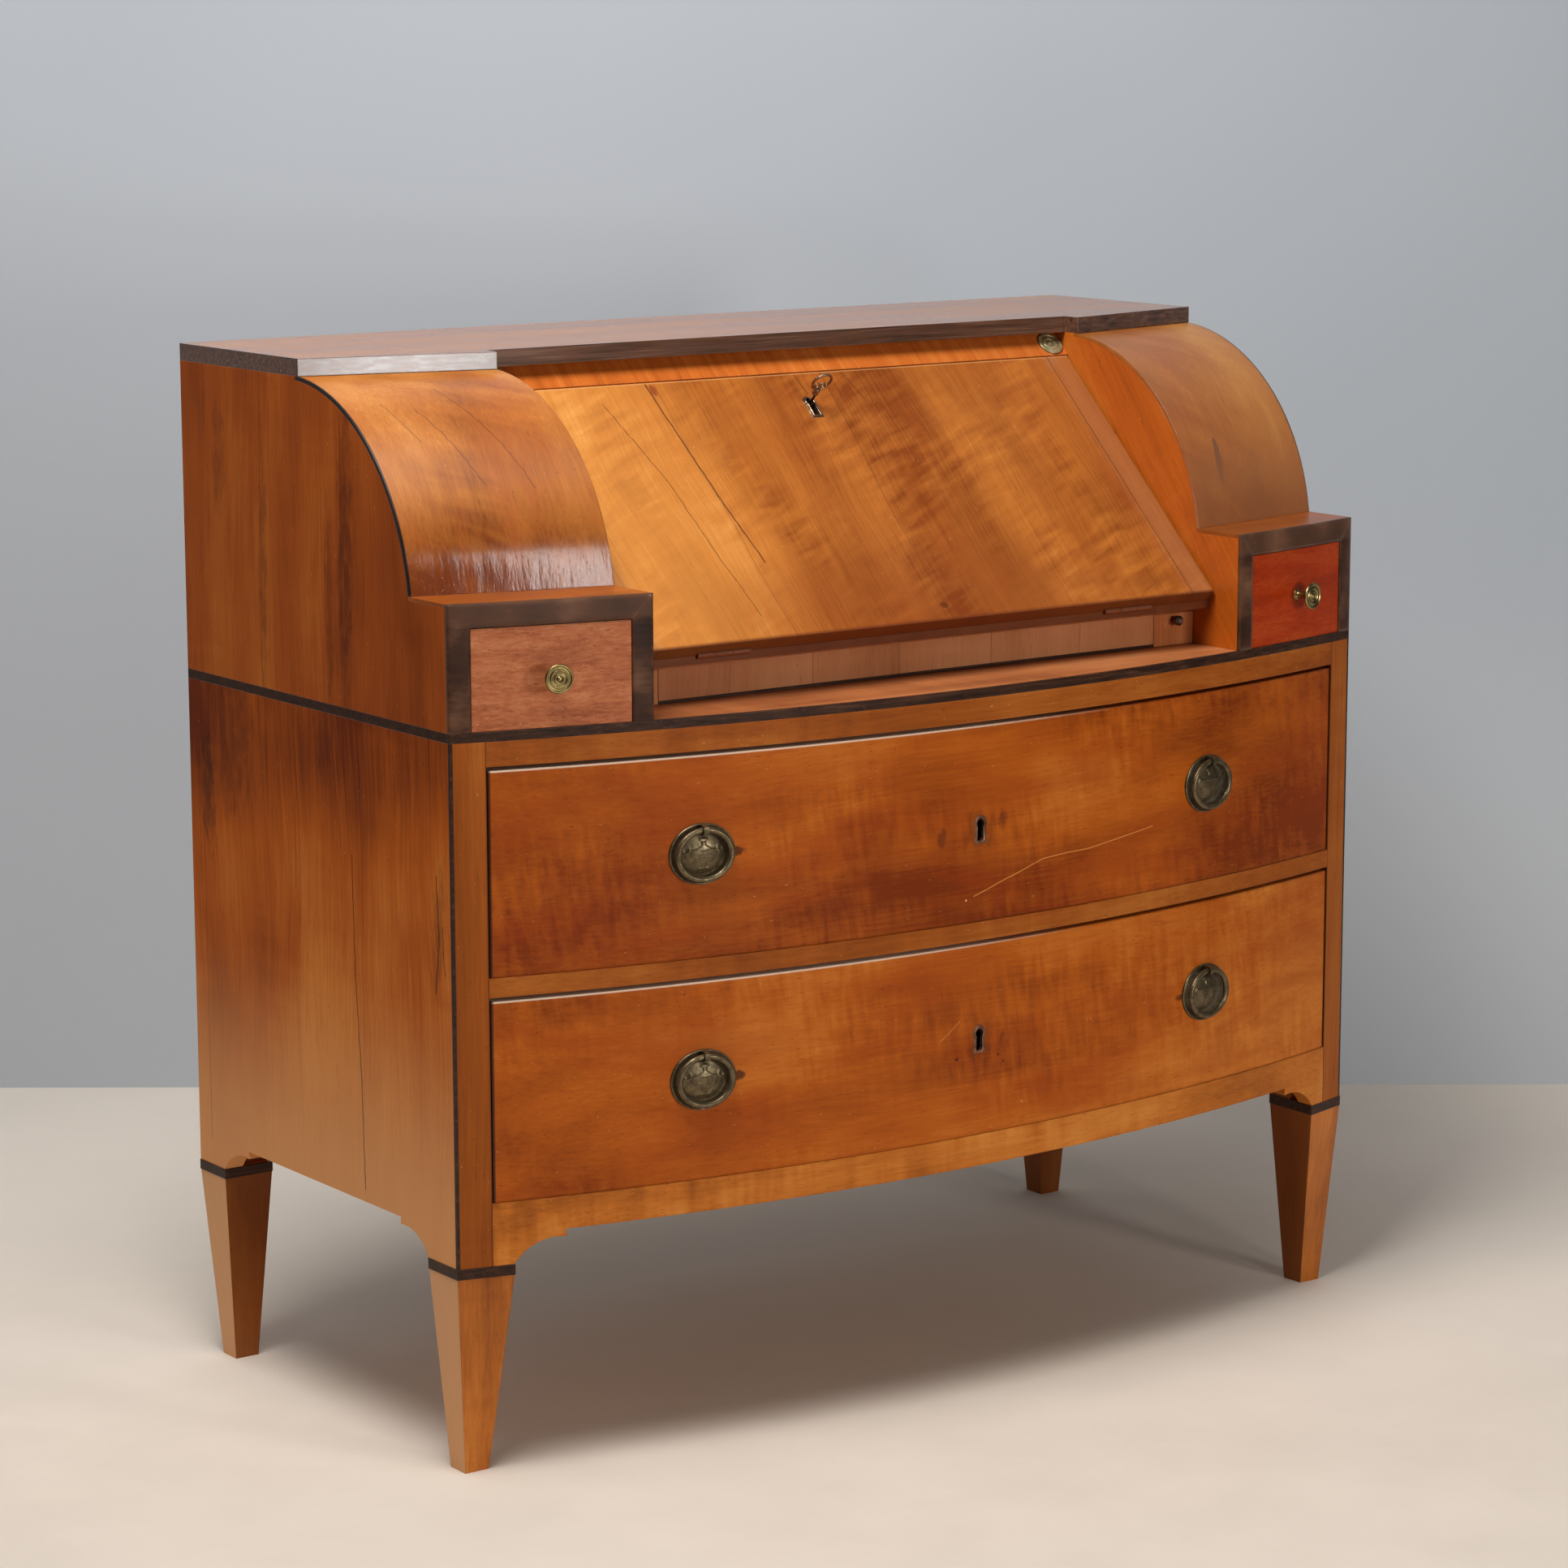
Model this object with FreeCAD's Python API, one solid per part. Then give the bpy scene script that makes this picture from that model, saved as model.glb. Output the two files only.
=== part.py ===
import FreeCAD, Part
import math
import os

# A slant-front writing desk with a bowed front: two long drawers below, a sloping fall between two
# round-shouldered drawer boxes above. Millimetres, +X to the sitter's right as seen from the front,
# -Y towards the sitter, +Z up. The origin is on the floor, midway between the sides and midway
# between the crown of the bow and the back.

# Case
case_width = 1200.0
case_depth = 535.0
bow_rise = 85.0
side_thickness = 22.0
back_thickness = 10.0
shelf_thickness = 10.0
string_thickness = 3.0

# Legs
leg_height = 210.0
leg_top_width = 58.0
leg_top_depth = 55.0
leg_foot_size = 28.0
leg_foot_inset = 14.5
leg_post_size = 36.0
leg_post_height = 44.0
collar_height = 11.0
collar_thickness = 3.0
collar_proud = 0.6

# Front of the lower case
stile_width = 36.0
apron_depth = 65.0
lower_opening_height = 211.5
middle_rail_height = 20.0
upper_opening_height = 214.0
top_rail_height = 25.5
rail_depth = 45.0
scallop_rise = 31.0
scallop_step = 8.0
cove_run = 54.0
cove_hollow = 9.0

# Long drawers
drawer_side_gap = 2.4
drawer_top_gap = 4.0
drawer_bottom_gap = 0.3
drawer_recess = 0.8
drawer_front_thickness = 24.0
drawer_board = 12.0
drawer_bottom_board = 8.0
drawer_side_drop = 18.0
drawer_back_gap = 18.0
runner_width = 48.0
runner_thickness = 16.0
runner_guide_height = 24.0

# Drawer boxes beside the fall
box_width = 210.0
box_height = 128.5
frame_thickness = 4.0
glue_line = 0.05
frame_top_height = 24.5
skin_thickness = 4.0
shoulder_foot_setback = 70.0
shoulder_top_cover = 6.0
shoulder_bulge = 54.0
box_top_depth = 300.0
small_drawer_gap = 0.8
small_drawer_recess = 1.0
small_front_thickness = 16.0
small_drawer_board = 8.0
small_bottom_board = 5.0
small_side_drop = 14.0
small_drawer_length = 285.0

# Top
top_thickness = 18.2
top_overhang = 20.9
top_step = 27.0
top_band_thickness = 4.0

# Fall
fall_angle = 43.15
fall_length = 356.0
fall_thickness = 15.0
fall_side_gap = 3.2
fall_top_gap = 1.5
fall_cleat_width = 30.0
hinge_setback = 0.5
hinge_rise = 51.4
bed_front_gap = 0.6
bed_nosing = 9.0
loper_gap = 0.3
fall_rest_gap = 0.3
rail_face_width = 36.8
rail_lip = 12.0
rail_back_depth = 14.0
rail_top_depth = 50.0

# Frieze and lopers
frieze_setback = 28.0
frieze_thickness = 18.0
frieze_string_height = 3.5
loper_width = 57.0
loper_back_gap = 67.0
loper_side_gap = 0.7
loper_guide_thickness = 14.0
loper_knob_radius = 5.5
loper_knob_neck = 2.8
loper_knob_reach = 13.0
loper_knob_rise = 28.5

# Inside the writing compartment
gallery_gap = 7.0
gallery_shelf_rise = 93.6
gallery_board = 7.0
gallery_divider = 6.0
gallery_niche_width = 260.0
inner_drawer_gap = 0.5
inner_front_thickness = 12.0
inner_drawer_board = 6.0
inner_drawer_back_gap = 15.0
inner_side_drop = 10.0
inner_knob_radius = 7.0
inner_knob_neck = 3.5
inner_knob_reach = 14.0

# Where the neck ends, the belly starts and the shoulder turns in, along a small turned knob
button_shares = (0.33, 0.5, 0.8)

# Ring pulls
pull_end_inset = 223.6
upper_pull_rise = 108.5
lower_pull_rise = 105.0
pull_plate_radius = 32.0
pull_wide_share = 1.17
pull_plate_thickness = 1.8
pull_rim_width = 2.8
pull_rim_height = 3.4
pull_boss_radius = 21.0
pull_boss_height = 8.5
pull_boss_dome = 1.8
pull_ring_radius = 25.6
pull_wire_radius = 3.2
wire_sides = 10
pull_ring_gap = 3.5
pull_eye_width = 6.0
pull_eye_wall = 1.4
pull_eye_clearance = 0.55

# Turned knobs of the small drawers
knob_radius = 15.0
knob_head = 4.0
knob_dish = 1.4
knob_button_radius = 2.2
knob_ring_radius = 7.0
knob_stem_radius = 3.6
knob_foot_radius = 6.0
knob_foot_height = 3.0
knob_reach = 25.0

# Keyholes, locks and key
keyhole_radius = 5.0
keyhole_slot = 7.5
keyhole_drop = 18.5
escutcheon_rim = 3.4
escutcheon_depth = 2.0
escutcheon_proud = 0.8
drawer_lock_width = 64.0
drawer_lock_height = 52.0
drawer_lock_depth = 13.0
drawer_lock_rise = 6.0
upper_key_rise = 106.0
lower_key_rise = 111.0
bolt_width = 16.0
bolt_thickness = 5.0
bolt_clearance = 0.4
bolt_throw = 8.0
bolt_tail_rise = 9.0
bolt_set_down = 1.0
lock_wall = 3.0
staple_height = 9.0
staple_drop = 12.0
staple_wall = 4.0
fall_lock_width = 80.0
fall_lock_height = 64.0
fall_lock_depth = 9.4
fall_lock_gap = 0.2
fall_lock_wall = 1.8
fall_key_drop = 43.0
fall_bolt_width = 28.0
fall_bolt_throw = 6.0
fall_bolt_set_down = 0.5
key_shaft_radius = 2.4
key_collar_radius = 3.6
key_collar_length = 2.4
key_reach = 21.0
key_bow_radius = 11.5
key_bow_wire = 1.6
key_bit_length = 7.0
key_bit_thickness = 2.4
key_end_gap = 0.6
key_cavity_radius = 9.0

# Hinges of the fall
hinge_end_inset = 116.8
hinge_length = 66.0
hinge_leaf_width = 30.0
hinge_leaf_thickness = 1.6
hinge_knuckle_radius = 3.4
hinge_pin_radius = 1.5
hinge_pin_clearance = 0.05
hinge_clearance = 0.4

# Brass plates at the ends of the rail over the fall
plate_width = 32.0
plate_thickness = 1.2
plate_end_gap = 0.8
plate_ring_height = 1.2
plate_ring_shares = ((1.0, 0.78), (0.56, 0.36))
plate_button_share = 0.16

# Cutting tools run past what they cut by this much
overrun = 5.0

half_width = case_width / 2
inner_half = half_width - side_thickness
back_y = (case_depth + bow_rise) / 2
apex_y = -back_y
corner_y = apex_y + bow_rise
back_face_y = back_y - back_thickness
base_z = leg_height + collar_height
lower_opening_z = base_z + apron_depth
middle_rail_z = lower_opening_z + lower_opening_height
upper_opening_z = middle_rail_z + middle_rail_height
top_rail_z = upper_opening_z + upper_opening_height
shelf_z = top_rail_z + top_rail_height
deck_z = shelf_z + shelf_thickness
hinge_y = corner_y + hinge_setback
hinge_z = deck_z + hinge_rise
slope_cos = math.cos(math.radians(fall_angle))
slope_sin = math.sin(math.radians(fall_angle))
rail_crown = fall_length + fall_top_gap + rail_face_width
rail_top_y = hinge_y + rail_crown * slope_cos - fall_thickness * slope_sin
slab_z = hinge_z + rail_crown * slope_sin + fall_thickness * slope_cos
top_z = slab_z + top_thickness
box_inner_x = half_width - box_width
box_top_z = deck_z + box_height
rail_half = half_width - stile_width
top_centre_y = rail_top_y - top_overhang
top_block_y = top_centre_y + top_step
loper_top_z = hinge_z - fall_thickness - loper_gap
bed_z = loper_top_z + loper_gap
fall_half = box_inner_x - fall_side_gap
hinge_x = fall_half - hinge_end_inset
pull_x = rail_half - drawer_side_gap - pull_end_inset

bow_radius = (half_width ** 2 + bow_rise ** 2) / (2 * bow_rise)
bow_centre_y = apex_y + bow_radius

X = FreeCAD.Vector(1, 0, 0)
Y = FreeCAD.Vector(0, 1, 0)
Z = FreeCAD.Vector(0, 0, 1)
nodes = {}


def vec(x, y, z=0.0):
    return FreeCAD.Vector(x, y, z)


def add(name, *solids):
    """Puts solids into a named node of the desk."""
    nodes.setdefault(name, []).extend(solids)


def mirrored(solid):
    """The same piece on the other side of the desk's middle plane."""
    return solid.mirror(vec(0, 0), X)


def pair(solid):
    return solid, mirrored(solid)


def box(x0, x1, y0, y1, z0, z1):
    return Part.makeBox(x1 - x0, y1 - y0, z1 - z0, vec(x0, y0, z0))


def prism(points, along):
    """A solid from a closed outline of points, drawn out along a vector."""
    return Part.Face(Part.makePolygon(list(points) + [points[0]])).extrude(along)


def arc_through(start, end, rise, towards):
    """An arc from start to end whose middle stands off the chord by rise."""
    middle = (start + end) * 0.5 + towards.normalize() * rise
    return Part.Arc(start, middle, end).toShape()


def line(start, end):
    return Part.LineSegment(start, end).toShape()


def face_of(edges):
    return Part.Face(Part.Wire(edges))


def turned(profile, axis_point, axis):
    """A turned solid from a closed profile of points beside its axis."""
    return Part.Face(Part.makePolygon(list(profile) + [profile[0]])).revolve(axis_point, axis, 360)


def button(centre, radius, neck, reach):
    """A small turned knob that stands out towards the sitter on a neck."""
    neck_end, belly, shoulder = [reach * share for share in button_shares]
    profile = [(0, 0), (neck, 0), (neck, neck_end), (radius, belly), (radius, shoulder), (neck, reach), (0, reach)]
    return turned([centre + vec(r, -d) for r, d in profile], centre, Y)


def wire_ring(radius, wire, centre):
    """A ring of round wire standing in the plane of X and Z."""
    turns = [2 * math.pi * i / wire_sides for i in range(wire_sides)]
    section = [centre + vec(radius + wire * math.cos(t), wire * math.sin(t)) for t in turns]
    return turned(section, centre, Y)


def bow_y(x, inset=0.0):
    """Where the bowed front, set back by an inset, lies at a distance from the middle."""
    return bow_centre_y - math.sqrt((bow_radius - inset) ** 2 - x ** 2)


def bow_arc(x0, x1, inset, z):
    middle = (x0 + x1) / 2
    ends = [vec(x, bow_y(x, inset), z) for x in (x0, middle, x1)]
    return Part.Arc(*ends).toShape()


def bowed_board(x0, x1, front_inset, back_inset, z0, z1):
    """An upright board whose two faces follow the bow."""
    front = bow_arc(x0, x1, front_inset, z0)
    back = bow_arc(x1, x0, back_inset, z0)
    right = line(vec(x1, bow_y(x1, front_inset), z0), vec(x1, bow_y(x1, back_inset), z0))
    left = line(vec(x0, bow_y(x0, back_inset), z0), vec(x0, bow_y(x0, front_inset), z0))
    return face_of([front, right, back, left]).extrude(Z * (z1 - z0))


def behind_bow(solid, inset=0.0):
    """What of a solid lies behind the bowed front, set back by an inset."""
    x, y, z = half_width + overrun, back_y + overrun, -overrun
    edges = [bow_arc(-x, x, inset, z), line(vec(x, bow_y(x, inset), z), vec(x, y, z)),
             line(vec(x, y, z), vec(-x, y, z)), line(vec(-x, y, z), vec(-x, bow_y(x, inset), z))]
    return solid.common(face_of(edges).extrude(Z * (top_z + 2 * overrun)))


def inset_outline(points, insets):
    """Moves each side of a closed outline, walked anticlockwise, inwards by its own inset."""
    count = len(points)
    lines = []
    for i in range(count):
        a, b = points[i], points[(i + 1) % count]
        along = (b - a).normalize()
        lines.append((a + vec(-along.y, along.x) * insets[i], along))
    moved = []
    for i in range(count):
        (p, d), (q, e) = lines[i - 1], lines[i]
        cross = d.x * e.y - d.y * e.x
        reach = ((q.x - p.x) * e.y - (q.y - p.y) * e.x) / cross
        moved.append(p + d * reach)
    return moved


def at_height(points, z):
    return [vec(p.x, p.y, z) for p in points]


def scalloped_edges(start, end, post_start, post_end, top, place):
    """The outline of a board with a cove and a step beside the post at each end of its lower edge."""
    low = base_z
    cove_top = base_z + scallop_rise - scallop_step
    flat = base_z + scallop_rise
    a, b = start + post_start, end - post_end
    c, d = a + cove_run, b - cove_run
    p = [place(s, z) for s, z in ((start, top), (start, low), (a, low), (c, cove_top), (c, flat),
                                  (d, flat), (d, cove_top), (b, low), (end, low), (end, top))]
    rise = cove_top - low
    left_bulge = place(-rise, cove_run) - place(0, 0)
    right_bulge = place(rise, cove_run) - place(0, 0)
    edges = [line(p[0], p[1]), line(p[1], p[2]), arc_through(p[2], p[3], cove_hollow, left_bulge)]
    edges += [line(p[3], p[4]), line(p[4], p[5]), line(p[5], p[6])]
    edges += [arc_through(p[6], p[7], cove_hollow, right_bulge), line(p[7], p[8]), line(p[8], p[9])]
    return edges + [line(p[9], p[0])]


def keyhole(radius, slot, drop, depth):
    """A keyhole in the plane of X and Y, its round eye at the origin and its slot towards -Y."""
    eye = Part.makeCylinder(radius, depth)
    return eye.fuse(box(-slot / 2, slot / 2, -drop, 0, 0, depth)).removeSplitter()


def escutcheon_pieces():
    """A raised metal rim for a keyhole, with its seat, facing +Z with its eye at the origin."""
    seat = escutcheon_depth - escutcheon_proud
    outer = keyhole(keyhole_radius + escutcheon_rim, keyhole_slot + 2 * escutcheon_rim,
                    keyhole_drop + escutcheon_rim, escutcheon_depth)
    hole = keyhole(keyhole_radius, keyhole_slot, keyhole_drop, escutcheon_depth + 2 * overrun)
    hole.translate(Z * -overrun)
    rim = outer.cut(hole)
    rim.translate(Z * -seat)
    pocket = keyhole(keyhole_radius + escutcheon_rim, keyhole_slot + 2 * escutcheon_rim,
                     keyhole_drop + escutcheon_rim, escutcheon_depth)
    pocket.translate(Z * -seat)
    return rim, pocket


def stood_up(solid, z):
    """Turns a piece that faces +Z to face the sitter at the crown of the bow, recessed as a drawer."""
    solid = solid.copy()
    solid.rotate(vec(0, 0), X, 90)
    solid.translate(vec(0, bow_y(0, drawer_recess), z))
    return solid


def lower_case():
    """Sides, back, stiles, rails, apron and the runners that carry the long drawers."""
    outline = scalloped_edges(corner_y, back_y, leg_top_depth, leg_top_depth, shelf_z,
                              lambda y, z: vec(inner_half, y, z))
    side = face_of(outline).extrude(X * side_thickness)
    mitre = [vec(half_width, corner_y), vec(inner_half, corner_y + side_thickness),
             vec(inner_half - overrun, corner_y + side_thickness),
             vec(inner_half - overrun, apex_y), vec(half_width, apex_y)]
    side = side.cut(prism(mitre, Z * shelf_z))
    notch = box(half_width - string_thickness, half_width + overrun, apex_y, corner_y + string_thickness,
                0, shelf_z + overrun)
    add("lower_sides", *pair(side.cut(notch)))

    stile_plan = [vec(rail_half, apex_y), vec(half_width, apex_y), vec(half_width, corner_y),
                  vec(inner_half, corner_y + side_thickness), vec(rail_half, corner_y + side_thickness)]
    stile = prism(at_height(stile_plan, base_z), Z * (shelf_z - base_z))
    add("front_stiles", *pair(behind_bow(stile).cut(notch)))
    corner = box(half_width - string_thickness, half_width, apex_y, corner_y + string_thickness, base_z, shelf_z)
    add("ebonised_strings", *pair(behind_bow(corner)))

    add("lower_back", box(-inner_half, inner_half, back_face_y, back_y, base_z + scallop_rise, shelf_z))
    top_rail = bowed_board(-rail_half, rail_half, 0, rail_depth, top_rail_z, shelf_z)
    add("top_rail", top_rail.cut(bolt_mortise(top_rail_z)))
    middle_rail = bowed_board(-rail_half, rail_half, 0, rail_depth, middle_rail_z, upper_opening_z)
    add("middle_rail", middle_rail.cut(bolt_mortise(middle_rail_z)))
    apron = bowed_board(-rail_half, rail_half, 0, side_thickness, base_z, lower_opening_z)
    post = leg_top_width - stile_width
    outline = scalloped_edges(-rail_half, rail_half, post, post, lower_opening_z,
                              lambda x, z: vec(x, apex_y - overrun, z))
    add("apron", apron.common(face_of(outline).extrude(Y * (case_depth + bow_rise))))

    front = corner_y + side_thickness
    for top in (lower_opening_z, upper_opening_z):
        section = [vec(inner_half, front, top - runner_thickness),
                   vec(inner_half, front, top + runner_guide_height),
                   vec(rail_half, front, top + runner_guide_height), vec(rail_half, front, top),
                   vec(inner_half - runner_width, front, top),
                   vec(inner_half - runner_width, front, top - runner_thickness)]
        runner = prism(section, Y * (back_face_y - front))
        if top == upper_opening_z:
            runner = runner.cut(bowed_board(-rail_half, rail_half, 0, rail_depth, middle_rail_z, upper_opening_z))
        add("drawer_runners", *pair(runner))
    kicker = box(inner_half - runner_width, inner_half, front, back_face_y, top_rail_z, shelf_z)
    add("drawer_runners", *pair(kicker.cut(top_rail)))


def leg(plan, foot, post):
    """A tapered leg with a neck for its collar and a post that runs up inside the case."""
    neck = inset_outline(plan, [collar_thickness - collar_proud] * len(plan))
    top = Part.makePolygon(at_height(plan + plan[:1], leg_height))
    bottom = Part.makePolygon(at_height(foot + foot[:1], 0))
    shaft = Part.makeLoft([bottom, top], True, True)
    stub = prism(at_height(neck, leg_height), Z * collar_height)
    shape = shaft.fuse(stub).fuse(post).removeSplitter()
    around = inset_outline(plan, [-collar_proud] * len(plan))
    collar = prism(at_height(around, leg_height), Z * collar_height).cut(stub)
    return shape, collar


def legs():
    """Four tapered legs, the front pair shaped to the bow, each with an ebonised collar."""
    inner = half_width - leg_top_width
    foot_outer = half_width - leg_foot_inset
    foot_inner = foot_outer - leg_foot_size
    post_x = inner_half - leg_post_size
    for y_near, y_far, follows_bow in ((corner_y, corner_y + leg_top_depth, True),
                                       (back_y - leg_top_depth, back_y, False)):
        inner_front = bow_y(inner) if follows_bow else y_near
        plan = [vec(inner, inner_front), vec(half_width, y_near), vec(half_width, y_far), vec(inner, y_far)]
        foot_near = y_near + leg_foot_inset if follows_bow else y_far - leg_foot_inset - leg_foot_size
        foot = [vec(foot_inner, foot_near), vec(foot_outer, foot_near),
                vec(foot_outer, foot_near + leg_foot_size), vec(foot_inner, foot_near + leg_foot_size)]
        post_y = corner_y + side_thickness if follows_bow else back_face_y - leg_post_size
        post = box(post_x, inner_half, post_y, post_y + leg_post_size, base_z, base_z + leg_post_height)
        solid, collar = leg(plan, foot, post)
        add("legs", *pair(solid))
        add("ebonised_strings", *pair(collar))


def shelf():
    """The board on the lower case, edged in black at the front and sides."""
    core = box(-half_width + top_band_thickness, half_width - top_band_thickness, apex_y, back_y, shelf_z, deck_z)
    add("shelf_board", behind_bow(core, top_band_thickness + glue_line))
    strip = box(half_width - top_band_thickness, half_width, apex_y, back_y, shelf_z, deck_z)
    add("ebonised_strings", *pair(behind_bow(strip)))
    front = half_width - top_band_thickness
    add("ebonised_strings", bowed_board(-front, front, 0, top_band_thickness, shelf_z, deck_z))


def shoulder_profile(skin):
    """The outline of a drawer box and its round shoulder at the outer side, less a skin on top."""
    foot = vec(half_width, corner_y + shoulder_foot_setback, box_top_z)
    top = vec(half_width, top_block_y + shoulder_top_cover, slab_z)
    chord = top - foot
    outward = vec(0, -chord.z, chord.y).normalize()
    half_chord = chord.Length / 2
    radius = (half_chord ** 2 + shoulder_bulge ** 2) / (2 * shoulder_bulge)
    centre = (foot + top) * 0.5 - outward * (radius - shoulder_bulge)
    reach = radius - skin
    ledge_z = box_top_z - skin
    start = vec(half_width, centre.y - math.sqrt(reach ** 2 - (ledge_z - centre.z) ** 2), ledge_z)
    end = vec(half_width, top.y, centre.z + math.sqrt(reach ** 2 - (top.y - centre.y) ** 2))
    arc = Part.Arc(start, centre + outward * reach, end).toShape()
    front, back = apex_y - overrun, back_y + case_depth
    corners = [vec(half_width, y, z) for y, z in ((top.y, slab_z), (back, slab_z), (back, deck_z),
                                                  (front, deck_z), (front, ledge_z))]
    edges = [arc]
    if end.z < slab_z:
        edges.append(line(end, corners[0]))
    edges += [line(a, b) for a, b in zip(corners, corners[1:])]
    edges.append(line(corners[-1], start))
    return face_of(edges)


def shoulder_block(skin):
    """The whole box and shoulder, drawn out aslant so that it keeps its place behind the bow."""
    drop = corner_y - bow_y(box_inner_x)
    return shoulder_profile(skin).extrude(vec(-box_width, -drop))


def upper_case():
    """Sides, cheeks, shoulders, drawer boxes, back and top of the upper case."""
    full = shoulder_block(0)
    core = shoulder_block(skin_thickness)
    front, tall = apex_y - overrun, top_z + overrun
    behind_frame = frame_thickness + glue_line
    side_zone = box(inner_half, half_width, front, back_y, 0, tall)
    cheek_zone = box(box_inner_x, box_inner_x + side_thickness, front, back_face_y, 0, tall)
    add("upper_sides", *pair(behind_bow(core.common(side_zone), behind_frame)))
    add("cheeks", *pair(behind_bow(core.common(cheek_zone), behind_frame)))
    skin = full.cut(core).common(box(box_inner_x, half_width, front, back_y, 0, tall))
    add("shoulders", *pair(skin.common(box(box_inner_x, half_width, front, back_y, box_top_z, tall))))
    ledge = skin.common(box(box_inner_x, half_width, front, back_y, 0, box_top_z))
    add("box_tops", *pair(behind_bow(ledge, behind_frame)))

    opening_z = box_top_z - frame_top_height
    ceiling = box(box_inner_x + side_thickness, inner_half, front, corner_y + box_top_depth,
                  opening_z, box_top_z - skin_thickness)
    add("box_tops", *pair(behind_bow(ceiling, behind_frame)))

    x0, x1, x2, x3 = box_inner_x, box_inner_x + side_thickness, inner_half, half_width
    strips = [[(x0, deck_z), (x1, deck_z), (x1, opening_z), (x0, box_top_z)],
              [(x1, opening_z), (x2, opening_z), (x3, box_top_z), (x0, box_top_z)],
              [(x2, deck_z), (x3, deck_z), (x3, box_top_z), (x2, opening_z)]]
    ring = bowed_board(x0, x3, 0, frame_thickness, deck_z, box_top_z)
    for strip in strips:
        outline = [vec(x, front, z) for x, z in strip]
        add("box_frames", *pair(prism(outline, Y * (case_depth + bow_rise)).common(ring)))

    add("upper_back", box(-inner_half, inner_half, back_face_y, back_y, deck_z, slab_z))

    inner_block_y = top_block_y - (corner_y - bow_y(box_inner_x))
    left = [vec(-half_width, back_y), vec(-half_width, top_block_y), vec(-box_inner_x, inner_block_y),
            vec(-box_inner_x, top_centre_y)]
    outline = left + [vec(-p.x, p.y) for p in reversed(left)]
    insets = [top_band_thickness] * (len(outline) - 1) + [0]
    inner = inset_outline(outline, insets)
    add("top_board", prism(at_height(inner, slab_z), Z * top_thickness))
    for i in range(len(outline) - 1):
        strip = [outline[i], outline[i + 1], inner[i + 1], inner[i]]
        add("top_edge_bands", prism(at_height(strip, slab_z), Z * top_thickness))


def on_slope(along, off):
    """A point of the fall's section: along it from the hinge, and off its inner face."""
    return vec(0, hinge_y + along * slope_cos - off * slope_sin, hinge_z + along * slope_sin + off * slope_cos)


def laid_on_slope(solid):
    """Lays a piece, drawn flat with the hinge line on X and the fall along +Y, on the closed slope."""
    solid = solid.copy()
    solid.rotate(vec(0, 0), X, fall_angle)
    solid.translate(vec(0, hinge_y, hinge_z))
    return solid


def hinge_places():
    return (-hinge_x, hinge_x)


def knuckle(x0, x1, radius):
    """A round stretch of a hinge along the hinge line, drawn about the X axis."""
    return Part.makeCylinder(radius, x1 - x0, vec(x0, 0), X)


def hinge_relief():
    """The hollows that the knuckles turn in."""
    half = hinge_length / 2 + hinge_clearance
    rolls = [knuckle(x - half, x + half, hinge_knuckle_radius + hinge_clearance) for x in hinge_places()]
    return rolls[0].fuse(rolls[1:])


def fall():
    """The sloping front with its cleats, lock, key, escutcheon and hinge leaves."""
    inner = fall_half - fall_cleat_width
    key_y = fall_length - fall_key_drop
    panel = box(-inner, inner, 0, fall_length, 0, fall_thickness)
    pocket = box(-fall_lock_width / 2, fall_lock_width / 2, fall_length - fall_lock_height,
                 fall_length + overrun, -overrun, fall_lock_depth)
    hole = keyhole(keyhole_radius, keyhole_slot, keyhole_drop, fall_thickness + 2 * overrun)
    hole.translate(vec(0, key_y, 0))
    rim, seat = escutcheon_pieces()
    for piece in (rim, seat):
        piece.translate(vec(0, key_y, fall_thickness))
    half = hinge_length / 2
    leaves = []
    for x in hinge_places():
        leaves.append(box(x - half, x + half, 0, hinge_leaf_width, 0, hinge_leaf_thickness))
    panel = panel.cut(pocket).cut(hole).cut(seat).cut(hinge_relief())
    for leaf in leaves:
        panel = panel.cut(leaf)
    add("fall_panel", laid_on_slope(panel))
    cleat = box(inner, fall_half, 0, fall_length, 0, fall_thickness)
    add("fall_panel", *pair(laid_on_slope(cleat)))
    add("fall_escutcheon", laid_on_slope(rim))

    third = hinge_length / 3
    for x, leaf in zip(hinge_places(), leaves):
        roll = knuckle(x - third / 2 + hinge_clearance, x + third / 2 - hinge_clearance, hinge_knuckle_radius)
        eye = knuckle(x - third, x + third, hinge_pin_radius + hinge_pin_clearance)
        clear = hinge_knuckle_radius + hinge_clearance
        for near, far in ((x - half - overrun, x - third / 2), (x + third / 2, x + half + overrun)):
            leaf = leaf.cut(knuckle(near, far, clear))
        add("fall_hinge_leaves", laid_on_slope(leaf.fuse(roll).cut(eye).removeSplitter()))

    fall_lock(hole, key_y)
    fall_key(key_y)


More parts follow.
